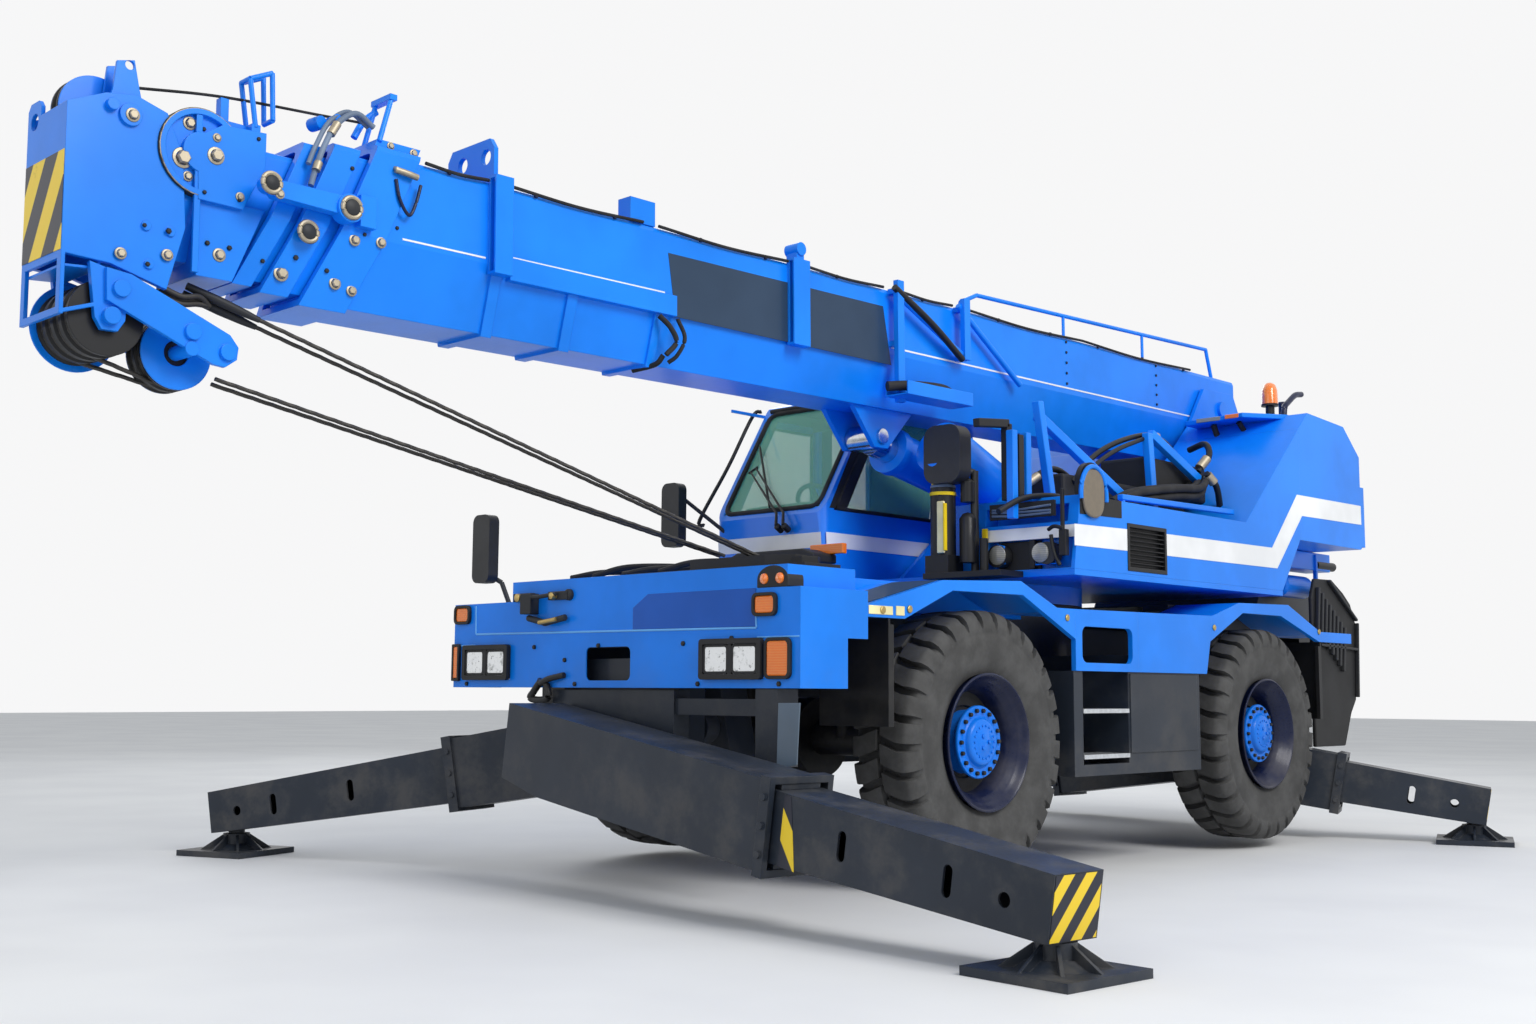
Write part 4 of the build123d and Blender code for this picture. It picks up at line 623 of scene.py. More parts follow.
def touch(origin):
    """Nearest visible CAD face that a ray to the machine's right meets: its node's name and the point."""
    best = (math.inf, None, None)
    for name, node in NODES.items():
        if node.hide_viewport or node.hide_render:
            continue
        hit, at, *_ = node.ray_cast(Vector(origin), Vector((-1, 0, 0)))
        gap = (at - Vector(origin)).length
        if hit and gap < best[0]:
            best = (gap, name, np.array(at))
    return best[1], best[2]


def bolt_group(name, rows, finish, collar=False):
    """Bolts on the boom's left side. rows: place along the boom, height, radius.

    Each is dropped onto the surface by a ray that comes in from the left, and rides on the body it lands on."""
    groups = {}
    for y, z, radius in rows:
        node, at = touch(on_boom((RAY_FROM, y, z)))
        if node is None:
            continue
        shapes = groups.setdefault(BODY_OF[node], [])
        if collar:
            shapes.append(turned(at, LEFT, (0, radius * 1.45), (4, radius * 1.4), (6, radius), turns=20,
                                 place=np.asarray))
        shapes.append(studs(at, LEFT, radius, radius * 0.9))
    for body, shapes in groups.items():
        piece(f"{name}_{body}", finish, body, *shapes)
    return len(rows)


print("slots in use", sorted(SLOTS))

# %% [markdown]
# ## Tyres
# The tyre is one closed surface with two parameters: the angle about the axle and a station across the profile. Every
# station has two places, one on the bare casing and one on top of a lug, and a mask of 0 or 1 by angle picks between
# them. The mask's steps get their own columns, so the lugs' walls stand almost upright. The two halves have their lugs
# half a pitch apart, and the lugs swing back towards the middle, as on an earthmover's tyre.

# %% Tyres
LUGS = 30
# offset and radius on the casing, then on a lug where the two differ
TYRE_STATIONS = [(0, 645), (8, 645), (11, 645, 11, 683), (60, 645, 60, 685), (110, 643, 110, 684), (148, 639, 150, 681),
                 (162, 634, 168, 672), (174, 626, 188, 645), (182, 610, 195, 618), (188, 592, 196, 596),
                 (190, 584, 195, 584), (192, 570), (190, 562), (193, 552), (193, 520), (192, 470), (187, 436),
                 (178, 408), (170, 392), (160, 372), (150, 352)]
LUG_COLUMNS = np.array([0, 0.035, 0.12, 0.225, 0.26, 0.38, 0.5, 0.535, 0.63, 0.725, 0.76, 0.88])
LUG_SWING = 0.3          # share of a pitch that a lug leads by in the middle
SWING_HALF = 0.12        # half width of the band in which it does
HUB_Z = 741
WHEEL_X = 1120
WHEELS = {"front_left": (1, FA), "front_right": (-1, FA), "rear_left": (1, RA), "rear_right": (-1, RA)}


def lug_masks():
    """For every column: its angle, and whether a lug of the outer and of the inner row stands there."""
    outer = ((LUG_COLUMNS > 0.03) & (LUG_COLUMNS < 0.73)).astype(float)
    inner = ((LUG_COLUMNS > 0.53) | (LUG_COLUMNS < 0.23)).astype(float)
    angle = (np.arange(LUGS)[:, None] + LUG_COLUMNS[None]).ravel() * 2 * np.pi / LUGS
    return angle, np.tile(outer, LUGS), np.tile(inner, LUGS)


def tyre(side, y):
    s = np.array([(row * 2)[:4] for row in TYRE_STATIONS], float) / 1000
    s = np.concatenate([s[:0:-1] * (-1, 1, -1, 1), s])
    angle, outer, inner = lug_masks()
    mask = np.where(s[None, :, 0] >= 0, outer[:, None], inner[:, None])
    across = s[:, 0] * (1 - mask) + s[:, 2] * mask
    radius = s[:, 1] * (1 - mask) + s[:, 3] * mask
    swing = LUG_SWING * 2 * np.pi / LUGS * np.clip(1 - np.abs(s[:, 0]) / SWING_HALF, 0, 1)
    turn = angle[:, None] + swing[None]
    grid = [side * (WHEEL_X / 1000 + across), y - radius * np.cos(turn), HUB_Z / 1000 + side * radius * np.sin(turn)]
    return patch(np.stack(grid, -1), round_u=True, round_v=True)


for key, (side, y) in WHEELS.items():
    tread = tyre(side, y)
    piece(f"tyre_tread_{key}", "tyre_rubber", f"wheel_{key}", tread, smooth=True, stands_for=[f"tyre_{key}"])
print("tyre faces", len(tread[1][0]))

# %% [markdown]
# ## Rims and hubs
# The rim is a profile turned about the axle: outer flange, lock ring and well, with a dished disc of its own. The
# planetary hub in front of it is bright blue with a ring of bolts and a smooth cap, and the disc is nearly black.

# %% Rims and hubs
RIM_PROFILE = [(-178, 352), (-186, 360), (-186, 346), (-160, 334), (100, 330), (150, 338), (168, 346), (178, 357),
               (188, 358), (192, 350), (186, 341), (172, 335), (164, 325), (158, 322), (152, 312), (146, 309),
               (138, 300), (120, 290), (112, 282), (104, 280), (96, 272), (60, 266), (20, 262)]
DISC_PROFILE = [(20, 264), (16, 250), (22, 215), (20, 190), (6, 185), (6, 160)]
HUB_PROFILE = [(8, 0.1), (8, 165), (10, 165), (70, 168), (98, 172), (100, 186), (104, 189), (116, 189), (120, 186),
               (121, 150), (118, 138), (124, 128), (140, 122), (149, 114), (152, 100), (153, 60), (156, 56), (157, 0.1)]
BOLTS = 18               # on each of the hub's rings


def bolt_ring(centre, out, distance, offset, radius, height, every=1):
    """Bolt heads on a circle about the axle; every picks each so many of the places."""
    angle = np.arange(BOLTS)[::every] * 2 * np.pi / BOLTS
    spokes = np.stack([0 * angle, np.cos(angle), np.sin(angle)], -1)
    return studs(centre + spokes * distance / 1000 + np.array(out) * offset / 1000, out, radius, height)


for key, (side, y) in WHEELS.items():
    centre, out, wheel = (side * WHEEL_X / 1000, y, HUB_Z / 1000), (side, 0, 0), f"wheel_{key}"
    rim, disc, hub = (turned(centre, out, *profile, turns=turns, place=np.asarray) for profile, turns in
                      ((RIM_PROFILE, 72), (DISC_PROFILE, 48), (HUB_PROFILE, 64)))
    piece(f"rim_ring_{key}", "dark_blue_paint", wheel, rim, smooth=True, stands_for=[f"rim_{key}"])
    piece(f"hub_{key}", "hub_blue", wheel, hub, bolt_ring(centre, out, 85, 153, 6, 4),
          bolt_ring(centre, out, 35, 156, 11, 8, every=6), smooth=True)
    piece(f"rim_disc_{key}", "deep_black", wheel, disc, smooth=True)
    piece(f"hub_bolts_{key}", "black_steel", wheel, bolt_ring(centre, out, 163, 120, 12.5, 16))
print("wheels dressed", len(WHEELS))

# %% [markdown]
# ## Stripes and warning bands
# A white band runs along the superstructure's side, steps up to the counterweight and crosses the cab's front. On the
# real machine these are foils or sprayed bands; here each is a band between two lines of places, barely thicker than
# paint, laid on the wall.

# %% Stripes
UP_X = 1250              # left wall of the superstructure
FOIL = 1.6


def wall_band(upper, lower):
    """A band on the left wall, between two lines of (distance behind the front axle, height) pairs."""
    return ribbon([(UP_X, *pair) for pair in upper], [(UP_X, *pair) for pair in lower], (FOIL, 0, 0))


piece("side_stripes", "white_foil", "upper",
      wall_band([(912, 1956), (1481, 1968)], [(912, 1832), (1481, 1838)]),
      wall_band([(1939, 1974), (3345, 1986), (3745, 2386), (4799, 2399)],
                [(1939, 1839), (3414, 1849), (3815, 2242), (4799, 2257)]),
      mirrored(wall_band([(2250, 1976), (3345, 1986), (3745, 2386), (4799, 2399)],
                         [(2250, 1840), (3414, 1849), (3815, 2242), (4799, 2257)])),
      # round the front edge of the left cover, which leans back a little
      ribbon([(620, 950, 1958), (1250, 950, 1958)], [(620, 931, 1885), (1250, 931, 1885)], (0, -FOIL, 0)),
      # across the rear of the counterweight
      ribbon([(-1250, 4860, 2400), (1250, 4860, 2400)], [(-1250, 4860, 2257), (1250, 4860, 2257)], (0, FOIL, 0)))
# cab front: the wall leans by a few millimetres over the band's height
piece("cab_stripe", "white_foil", "upper",
      ribbon([(-1262, 545.8, 1985), (-355, 545.8, 1985)], [(-1262, 551.5, 1890), (-355, 551.5, 1890)], (0, -FOIL, 0)))
piece("cab_stripe_side", "white_foil", "upper",
      wall_plate(CAB_X[1] + 0.5, 3, (566.8, 1985), (1600, 1985), (1600, 1890), (572.5, 1890)))
piece("cab_dark_pillar", "deep_black", "upper",
      wall_plate(CAB_X[1] + 0.5, 3, (600, 2140), (760, 2140), (1120, 2760), (1000, 2860)))
# thin lines on the boom's walls: from and to along it, their heights, and half the line's width
PINSTRIPES = [(-7440, -6985, -104, -104, 4.5), (-6860, -5850, -74, -72, 4.5), (-4000, -320, -88, -92, 5.5)]
piece("boom_pinstripe", "white_foil", "boom_base",
      *[both(ribbon([(250.2, y0, z0 + half), (250.2, y1, z1 + half)], [(250.2, y0, z0 - half), (250.2, y1, z1 - half)],
                    (1.2, 0, 0), place=on_boom)) for y0, y1, z0, z1, half in PINSTRIPES])
print("stripes laid")

# %% [markdown]
# ## Yellow and black warning panels
# Slanting bars are a function of two coordinates on the panel: the fraction part of (u + slope * v) / pitch, cut at one
# half. The two coordinates, the pitch and the slope are picked per panel.

# %% Warning panels
def warning(name, across, pitch, slope):
    """Yellow with dark bars. `across` picks which two of x, y, z run across the panel."""
    f = Finish(name)
    axes = f.xyz()
    u, v = axes[across[0]], axes[across[1]]
    bars = ((u + v * slope) / pitch).maths("FRACT")
    yellow = bars.step(0.485, 0.515) * (1 - bars.step(0.985, 1.0))
    scuff = f.noise(9, 5, 0.7).step(0.62, 0.8)
    base = f.mix(yellow, srgb(18, 22, 40), srgb(240, 205, 30))
    return f.set(Base_Color=f.mix(scuff * 0.5, base, srgb(90, 92, 96)), Roughness=scuff * 0.3 + 0.35)


# foot's place, turn in plan and droop in degrees, from the foot to the box's collar, and the box's length
OUTRIGGERS = {"front_left": (2.980, FA - 1.940, -5, 8.5, 1.330, 2.050),
              "front_right": (-2.900, FA - 1.920, 200, 10, 1.600, 1.750),
              "rear_left": (2.100, RA + 1.366, 20, 10, 0.800, 1.750),
              "rear_right": (-2.150, RA + 1.656, 175, 8.5, 0.820, 2.050)}
HINGE_IN = 0.12          # hinge pin from the box's inner end
END_OVER = 0.09          # the beam runs on past its foot
END_TOP_Z = 0.372        # height of the beam's top corner at its end
BEAM_TOP = 0.15          # above the beam's axis


def outrigger(key):
    """A function that places millimetres along, across and up from the hinge pin, and the foot's distance from it."""
    x, y, plan, droop, reach, length = OUTRIGGERS[key]
    flat = reach + length - HINGE_IN
    tilt, turn = math.radians(droop), math.radians(plan)
    pin_z = END_TOP_Z + math.sin(tilt) * (flat + END_OVER) / math.cos(tilt) - math.cos(tilt) * BEAM_TOP
    pin = np.array([x - flat * math.cos(turn), y - flat * math.sin(turn), pin_z])
    along = np.array([math.cos(turn) * math.cos(tilt), math.sin(turn) * math.cos(tilt), -math.sin(tilt)])
    side = np.array([-math.sin(turn), math.cos(turn), 0])
    axes = np.array([along, side, np.cross(along, side)])
    return lambda points: pin + np.asarray(points, float) / 1000 @ axes, flat / math.cos(tilt) * 1000


piece("head_warning_panel", warning("head_bars", (0, 2), 0.235, -0.62), "boom_head",
      slab((0, -1.6, 0), (-181, -8911, -420), (181, -8911, -420), (181, -8911, -26), (-181, -8911, -26), place=on_boom))
end_bars = warning("end_bars", (1, 2), 0.125, -0.75)
for key in OUTRIGGERS:
    place, span = outrigger(key)
    corners = [(span + END_OVER * 1000 + 0.5, y, z) for y, z in ((-130, -90), (130, -90), (130, 145), (-130, 145))]
    piece(f"beam_end_panel_{key}", end_bars, f"outrigger_beam_{key}", slab((1.6, 0, 0), *corners, place=place))
# a second panel wraps the side of the front left beam, just outside its box's collar
place, span = outrigger("front_left")
corners = [(span - back, -138.2, z) for back, z in ((1315, -152), (1215, -152), (1275, 145), (1315, 145))]
piece("beam_side_panel", warning("side_bars", (0, 2), 0.2, 0.6), "outrigger_beam_front_left",
      slab((0, -1.6, 0), *corners, place=place))
piece("boom_blank_panel", "slate_panel", "boom_base",
      both(slab((1.4, 0, 0), (250.3, -5828, 143), (250.3, -4076, 152), (250.3, -4005, -197), (250.3, -5777, -188),
                place=on_boom)))
print("warning panels", 2 + len(OUTRIGGERS))

# %% [markdown]
# ## Ropes
# Two pairs of steel ropes run tight from the boom head down to the deck, where the hook is tied for the road. A tight
# rope is a straight line, so each is a tube on a straight path whose radius wavers by about a millimetre along a
# spiral: that gives the strands without a strand being modelled.

# %% Ropes
STRANDS = 5
LAY = 0.09               # length of one turn of a strand, m
STRAND_DEPTH = 0.14      # share of the rope's radius
ROPE_RADIUS = 0.0085
ROPE_STEP = 0.015
ROPE_SIDES = 15
# from the boom head to the deck, in metres
ROPES = [((0.070, -5.445, 2.560), (0.700, -2.800, 1.640)), ((0.105, -5.447, 2.585), (0.735, -2.800, 1.640)),
         ((0.070, -5.468, 2.245), (0.370, -2.800, 1.690)), ((0.105, -5.47, 2.262), (0.405, -2.800, 1.690))]


def rope(start, end):
    """A circle carried along a line. Its radius is r * (1 + depth * cos(strands * angle - 2 pi * distance / lay))."""
    start, end = np.asarray(start, float), np.asarray(end, float)
    length = np.linalg.norm(end - start)
    share = np.linspace(0, 1, int(length / ROPE_STEP))[:, None]
    wave = np.cos(STRANDS * circle(ROPE_SIDES)[None] - share * length / LAY * 2 * np.pi)
    width = ROPE_RADIUS * (1 + STRAND_DEPTH * wave)
    return sweep(start + share * (end - start), width[..., None], ROPE_SIDES)


def socket(top, end):
    """A tapered socket on a rope's upper end: (distance from the end, radius) in millimetres."""
    way = unit(np.subtract(end, top))
    rows = [(-160, 16), (-60, 20), (0, 21), (100, 17), (160, 12)]
    return tube([radius for _, radius in rows], *[way * along / 1000 for along, _ in rows], sides=12,
                place=lambda points: np.array(top) + points)


piece("hoist_ropes", "rope_steel", "boom_head", *[rope(*ends) for ends in ROPES], smooth=True)
piece("rope_sockets", "cast_steel", "boom_head", *[socket(*ends) for ends in ROPES[:2]], smooth=True)
print("ropes", len(ROPES))

# %% [markdown]
# ## Cab trim
# The windscreen lies in a raked plane. A black rubber seal follows its edge, two linked arms carry the wiper, and a
# thin rail runs up beside the pillar. The wiper's places are written on the screen itself: how far across, how far up
# the slope, how far off the glass.

# %% Cab trim
SCREEN = np.array([LEFT, unit((0, 0.5, 0.82)), unit((0, -0.82, 0.5))])     # across, up the slope, outwards
SCREEN_FOOT = (0, FA + 0.54, SCREEN_FROM)


def on_screen(points):
    """Millimetres across, up the slope and off the glass, as points in the frame."""
    return SCREEN_FOOT + np.asarray(points, float) / 1000 @ SCREEN


def up_to(z):
    """How far up the slope the screen reaches a height."""
    return (z - SCREEN_FROM * 1000) / SCREEN[1, 2]


def side_seal(x, *pairs):
    """A rubber cord along a closed outline on a side wall, with 12 places to an edge."""
    corners = np.array([(x, *pair) for pair in pairs], float)
    share = np.linspace(0, 1, 12, endpoint=False)[:, None]
    cord = np.concatenate([a + (b - a) * share for a, b in zip(corners, np.roll(corners, -1, 0))])
    return tube(12, *cord, sides=8, closed=True)


screen_edge = rounded((CAB_X[0] + 60, up_to(2152)), (CAB_X[1] - 60, up_to(2880)), 70)
piece("cab_seals", "black_rubber", "upper",
      tube(17, *[(x, up, 0) for x, up in screen_edge], sides=8, closed=True, place=on_screen),
      side_seal(CAB_X[1] + 1, (655, 2140), (1085, 2835), (2018, 2835), (2072, 2778), (2072, 2140)), smooth=True)
piece("cab_door_seal", "black_rubber", "cab_door",
      side_seal(CAB_X[0] - 34, (768, 2155), (1134, 2810), (1524, 2810), (1524, 2155)), smooth=True)
# wiper: two arms from their feet to a cross link, and the blade
blade = np.linspace((-800, up_to(2160), 24), (-1160, up_to(2620), 24), 9)
piece("wiper", "black_steel", "upper",
      *[tube((11, 9, 6), (x, -100, 30), (x - 20, -20, 50), (tip, up_to(z), 35), sides=8, place=on_screen)
        for x, tip, z in ((-600, -1085, 2450), (-660, -1125, 2430))],
      tube(9, (-1075, up_to(2460), 34), (-1135, up_to(2420), 34), sides=8, place=on_screen),
      *[turned((x, -100, 0), SCREEN[2], (-30, 22), (20, 22), (30, 12), (32, 1), turns=16, place=on_screen)
        for x in (-600, -660)],
      tube(8, *blade, sides=8, place=on_screen), smooth=True)
# rail beside the right-hand pillar and the gutter over the roof's front edge
piece("cab_grab_rail", "black_steel", "upper",
      hose(13, (-1300, 455, 2080), (-1330, 440, 2120), (-1330, 700, 2500), (-1330, 930, 2870), (-1290, 980, 2910),
           steps=6), smooth=True)
piece("cab_gutter", "black_rubber", "upper",
      tube(16, *np.linspace((CAB_X[0] + 50, 1020, 2905), (CAB_X[1] - 50, 1020, 2905), 8), sides=8), smooth=True)
# inside: instrument cowl and mirror
piece("cab_cowl", "deep_black", "upper",
      slab((720, 0, 0), (-1170, 660, 2090), (-1170, 700, 2200), (-1170, 900, 2240), (-1170, 920, 2090)), edge=12)
piece("cab_inside_mirror", "deep_black", "upper", box((-860, 1020, 2720), (-700, 1035, 2790)), edge=6)
# amber lamp and the black tray in front of the cab's foot
piece("cab_foot_lamp", "amber_plastic", "upper", box((-370, 460, 1832), (-100, 500, 1896)), edge=6)
piece("cab_tray", "deep_black", "upper",
      slab((0, 220, 0), (-950, 300, 1775), (-200, 300, 1775), (-200, 300, 1830), (-300, 300, 1862), (-850, 300, 1862),
           (-950, 300, 1820)), edge=10)
print("cab trimmed")

# %% [markdown]
# ## Lamps
# Each headlamp is a black bezel round two square lenses, which are flat panes in a bezel of their own. The corner lamps
# get black bezels too, and the work lamps' lenses are shallow domes turned about the lamp's axis.

# %% Lamps
BUMPER = -1480           # the bumper's face, behind the front axle
LAMP_LOW, LAMP_HIGH = 1055, 1238
STUD_LENS = (0, 26), (6, 24), (12, 14), (14, 1)
WORK_LENS = (0, 58), (6, 56), (12, 35), (14, 1)
SIDE_LENS = (0, 74), (6, 70), (12, 40), (14, 1)


def bezel(x0, x1, z0, z1, off, width, depth, radius=18):
    """A raised frame on the bumper: a closed square tube round a rectangle with round corners."""
    outer = rounded((x0, z0), (x1, z1), radius)
    inner = rounded((x0 + width, z0 + width), (x1 - width, z1 - width), max(radius - width * 0.5, 4))
    lines = [np.insert(line, 1, BUMPER - off - rise, axis=1) for line, rise in
             ((outer, 0), (outer, depth), (inner, depth), (inner, 0))]
    return patch(mm(np.stack(lines, 1)), round_u=True, round_v=True)


def pane(x, z, off, half_w, half_h):
    """A flat lens in front of the bumper, as a grid of u and v from -1 to 1."""
    u, v = np.meshgrid(np.linspace(-1, 1, 13), np.linspace(-1, 1, 13), indexing="ij")
    return patch(mm(np.stack([x + u * half_w, 0 * u + BUMPER - off, z + v * half_h], -1)))


def reflector_glass(name):
    """Glass over a reflector dish with the dish's reflections painted in: white, grey blots, dark spots, and fine
    upright flutes: sin(900 x).
    """
    f = Finish(name)
    flutes = (f.xyz()[0] * 900).maths("SINE") * 0.5 + 0.5
    reflection_blotch = f.noise(22, 5, 0.7)
    base = f.mix(reflection_blotch.step(0.3, 0.5), srgb(168, 170, 168), srgb(246, 247, 246))
    return f.set(Base_Color=f.mix(f.noise(48, 3, 0.6).step(0.6, 0.68) * 0.8, base, srgb(30, 32, 30)),
                 Metallic=reflection_blotch * 0.3 + 0.1, Roughness=flutes * 0.12 + 0.08, Coat_Weight=1.0, Coat_Roughness=0.03,
                 Normal=f.bump(flutes, 0.3, 0.001))


frames, panes = [], []
for x in (-1010, 900):
    frames += [bezel(x - 205, x + 205, LAMP_LOW - 5, LAMP_HIGH + 5, 4, 26, 26),
               box((x - 12, BUMPER - 26, LAMP_LOW + 10), (x + 12, BUMPER - 6, LAMP_HIGH - 10))]
    for lens_x in (x - 95, x + 95):
        frames.append(bezel(lens_x - 84, lens_x + 84, LAMP_LOW + 22, LAMP_HIGH - 22, 12, 12, 12))
        panes.append(pane(lens_x, (LAMP_LOW + LAMP_HIGH) / 2, 21.5, 72, 58))
# amber corner lamps and the small ones above them: bezel's sides and corner radius, and the lamp's box
CORNER_LAMPS = [((1118, 1280, 1052, 1242, 30), (1132, 1266, 1066, 1229, 16)),
                ((-1328, -1262, 1045, 1252, 8), (-1318, -1272, 1060, 1238, 16)),
                ((1036, 1190, 1342, 1452, 30), (1050, 1176, 1356, 1438, 12)),
                ((-1318, -1174, 1362, 1468, 30), (-1304, -1188, 1376, 1454, 12))]
frames += [bezel(*sides, 1, 14, 18, radius) for (*sides, radius), _ in CORNER_LAMPS]
piece("lamp_bezels", "deep_black", "carrier", *frames, smooth=True)
piece("corner_lamps", "amber_plastic", "carrier",
      *[box((x0, BUMPER - off, z0), (x1, BUMPER + 20, z1)) for _, (x0, x1, z0, z1, off) in CORNER_LAMPS],
      edge=6, stands_for=["marker_lamps"])
# the panes' white, grey and dark blots are painted reflections of the reflector dishes
piece("headlamp_glass", reflector_glass("headlamp_glass"), "carrier", *panes, smooth=True)
# round-topped black lamp housing above the left shoulder
arch = [(1056, 1474), (1256, 1474)] + [(1156 + 100 * math.cos(a), 1512 + 66 * math.sin(a))
                                       for a in np.linspace(0, np.pi, 15)]
piece("shoulder_lamp_housing", "deep_black", "carrier",
      slab((0, 110, 0), *[(x, BUMPER - 4, z) for x, z in arch]), edge=6)
piece("shoulder_lamp_bulbs", "amber_plastic", "carrier",
      *[turned((x, BUMPER - 3, 1516), FORWARD, *STUD_LENS, turns=20) for x in (1105, 1205)], smooth=True)
# lenses of the two lamps in the left cover's recess, the round side lamp and the roof lamp
piece("work_lamp_glass", "clear_lens", "upper",
      *[turned((x, 888, 1800), FORWARD, *WORK_LENS) for x in (735, 1035)],
      turned((1238.5, 1115, 2190), LEFT, *SIDE_LENS, turns=32),
      slab((0, -6, 0), (-747, 1129.5, 3012), (-577, 1129.5, 3012), (-577, 1129.5, 3078), (-747, 1129.5, 3078)),
      smooth=True)
print("headlamp lenses", len(panes), "corner lamps", len(CORNER_LAMPS))

# %% [markdown]
# ## Deck fittings
# Two latches and a bracket stand on the deck's front, hoses lie on the deck, and a tow shackle hangs below the bumper.

# %% Deck fittings
piece("deck_latches", "cast_steel", "carrier",
      box((-760, -1510, 1470), (-600, -1480, 1515)), box((-660, -1540, 1400), (-570, -1480, 1510)),
      box((-460, -1510, 1470), (-300, -1480, 1515)),
      tube(18, (-620, -1510, 1380), (-470, -1515, 1350), (-310, -1510, 1375)),
      tube(12, (-600, -1525, 1490), (-500, -1530, 1490), (-380, -1520, 1500)),
      turned((-310, -1480, 1495), FORWARD, (0, 30), (20, 30), (25, 18), (30, 1), turns=16), edge=4)
piece("deck_latch_pins", "brass", "carrier",
      turned((-690, -1510, 1490), FORWARD, (0, 22), (28, 22), (34, 12), (36, 1), turns=16),
      turned((-400, -1510, 1490), FORWARD, (0, 18), (28, 18), (34, 10), (36, 1), turns=16),
      tube(12, (-500, -1532, 1352), (-360, -1532, 1366)), smooth=True)
piece("tow_shackle", "black_steel", "carrier",
      hose(16, (-560, -1470, 1050), (-500, -1510, 1035), (-440, -1510, 1055), (-330, -1495, 1075), steps=6),
      hose(19, (-520, -1500, 1040), (-560, -1510, 990), (-600, -1500, 955), (-520, -1500, 945), (-450, -1500, 960),
           (-470, -1500, 1030), steps=6), smooth=True)
bumper_bolts = [(x, BUMPER, z) for x, z in ((-72, 1225), (-342, 1154), (893, 1244.5), (665, 1030), (-256, 1029),
                                            (560, 1225), (-600, 1225), (1200, 1030), (-1200, 1030))]
piece("bumper_bolts", "black_steel", "carrier", studs(mm(bumper_bolts), FORWARD, 13, 10))
piece("deck_hoses", "black_rubber", "carrier",
      *[hose(17, (x, -950, 1640), (x + 200, -870, 1668 + dz), (x + 550, -750, 1660 + dz), (x + 900, -810, 1640),
             sides=8) for x, dz in ((-950, 0), (-750, 20), (-500, 0), (-200, 20))], smooth=True)
print("deck fitted")

# %% [markdown]
# ## Boom head fittings
# The nested collars and the head carry nuts, pins and link eyes of bare, oily metal. They are listed by their place
# along the boom; a ray from the left finds the wall that each sits on, and with it the body that it moves with.

# %% Boom head fittings
# place along the boom, height, radius
NUTS = [(-8659, 166, 20), (-8685, -397, 17), (-8496, -368, 17), (-8414, 199, 20), (-8443, 46, 30), (-8415, -23, 15),
        (-8307, 83, 26), (-8305, 160, 13), (-8267, -321, 20), (-7991, -349, 24), (-7753, -355, 20), (-7668, -372, 18),
        (-7694, -162, 19), (-7564, -149, 18), (-7502, 311, 13), (-7381, 306, 14), (-8196, -66, 14), (-8083, -54, 15)]
SMALL_BOLTS = [(-8594, -266, 9), (-8495, -270, 12), (-8576, -420, 10), (-8321, -281, 11), (-8224, -283, 11),
               (-8070, -308, 10), (-7937, -275, 12), (-7802, -311, 11), (-7650, -131, 9), (-7369, 259, 10),
               (-7835, 156, 10), (-7700, 160, 10), (-8352, 190, 9), (-8120, 200, 9), (-8352, -80, 9), (-8200, -80, 9),
               (-7640, 240, 9), (-7470, -60, 9)]
count = bolt_group("boom_nuts", NUTS, "worn_steel", collar=True)
count += bolt_group("boom_bolts", SMALL_BOLTS, "black_steel")


def hoop(x, y, z, radius, thickness):
    """A torus round an axle that lies across the boom."""
    angle = circle(28)
    ring = np.stack([0 * angle + x, y + radius * np.cos(angle), z + radius * np.sin(angle)], -1)
    return tube(thickness, *ring, sides=8, closed=True, place=on_boom)


# link eyes: a bright hoop round a dark pin
for name, body, x, y, z, radius in (("link_eye_front", "boom_base", 325, -8122, -16, 40),
                                    ("link_eye_rear", "boom_base", 338, -7752, -45, 44),
                                    ("pin_eye", "boom_second", 262, -7912, -168, 42)):
    piece(name, "worn_steel", body, hoop(x, y, z, radius, 11), smooth=True)
    piece(name + "_pin", "cast_steel", body,
          turned((x, y, z), LEFT, (-30, radius * 0.8), (8, radius * 0.8), (14, radius * 0.55), (15, 0.1), turns=20,
                 place=on_boom), smooth=True)
# hydraulic hoses that loop up over the collars, their fittings, and the latch's cable
piece("collar_hoses", "hose_grey", "boom_base",
      boom_hose(13, (235, -7590, 375), (235, -7680, 415), (245, -7780, 340), (258, -7845, 225), (268, -7890, 110),
                (275, -7915, 30)),
      boom_hose(11, (205, -7600, 380), (205, -7700, 425), (215, -7800, 350), (235, -7870, 230), (250, -7915, 130)),
      smooth=True)
piece("collar_fittings", "worn_steel", "boom_base",
      boom_hose(15, (290, -7510, 190), (300, -7455, 182), (300, -7400, 175)),
      boom_hose(11, (262, -7500, 205), (300, -7505, 190)), boom_hose(19, (270, -7878, 140), (276, -7893, 100)),
      boom_hose(19, (247, -7778, 342), (252, -7812, 285)), smooth=True)
piece("collar_cable", "dark_blue_paint", "boom_base",
      boom_hose(8, (282, -7500, 150), (286, -7480, 60), (284, -7430, 0), (282, -7395, 60), (282, -7370, 150)),
      smooth=True)
# the thin line that runs back from the head over its guide post
piece("trip_line", "black_rubber", "boom_head",
      boom_hose(6.5, (90, -8620, 318), (115, -8244, 372), (140, -7790, 402), (150, -7540, 420), sides=8, steps=12),
      smooth=True)
piece("collar_top_unit", "blue_paint", "boom_base",
      boom_hose(30, (120, -7830, 352), (190, -7820, 352), sides=12, steps=4),
      boom_hose(18, (60, -7760, 380), (220, -7760, 380), steps=4),
      boom_hose(16, (90, -7600, 360), (100, -7560, 440), (110, -7500, 500), steps=4), smooth=True)
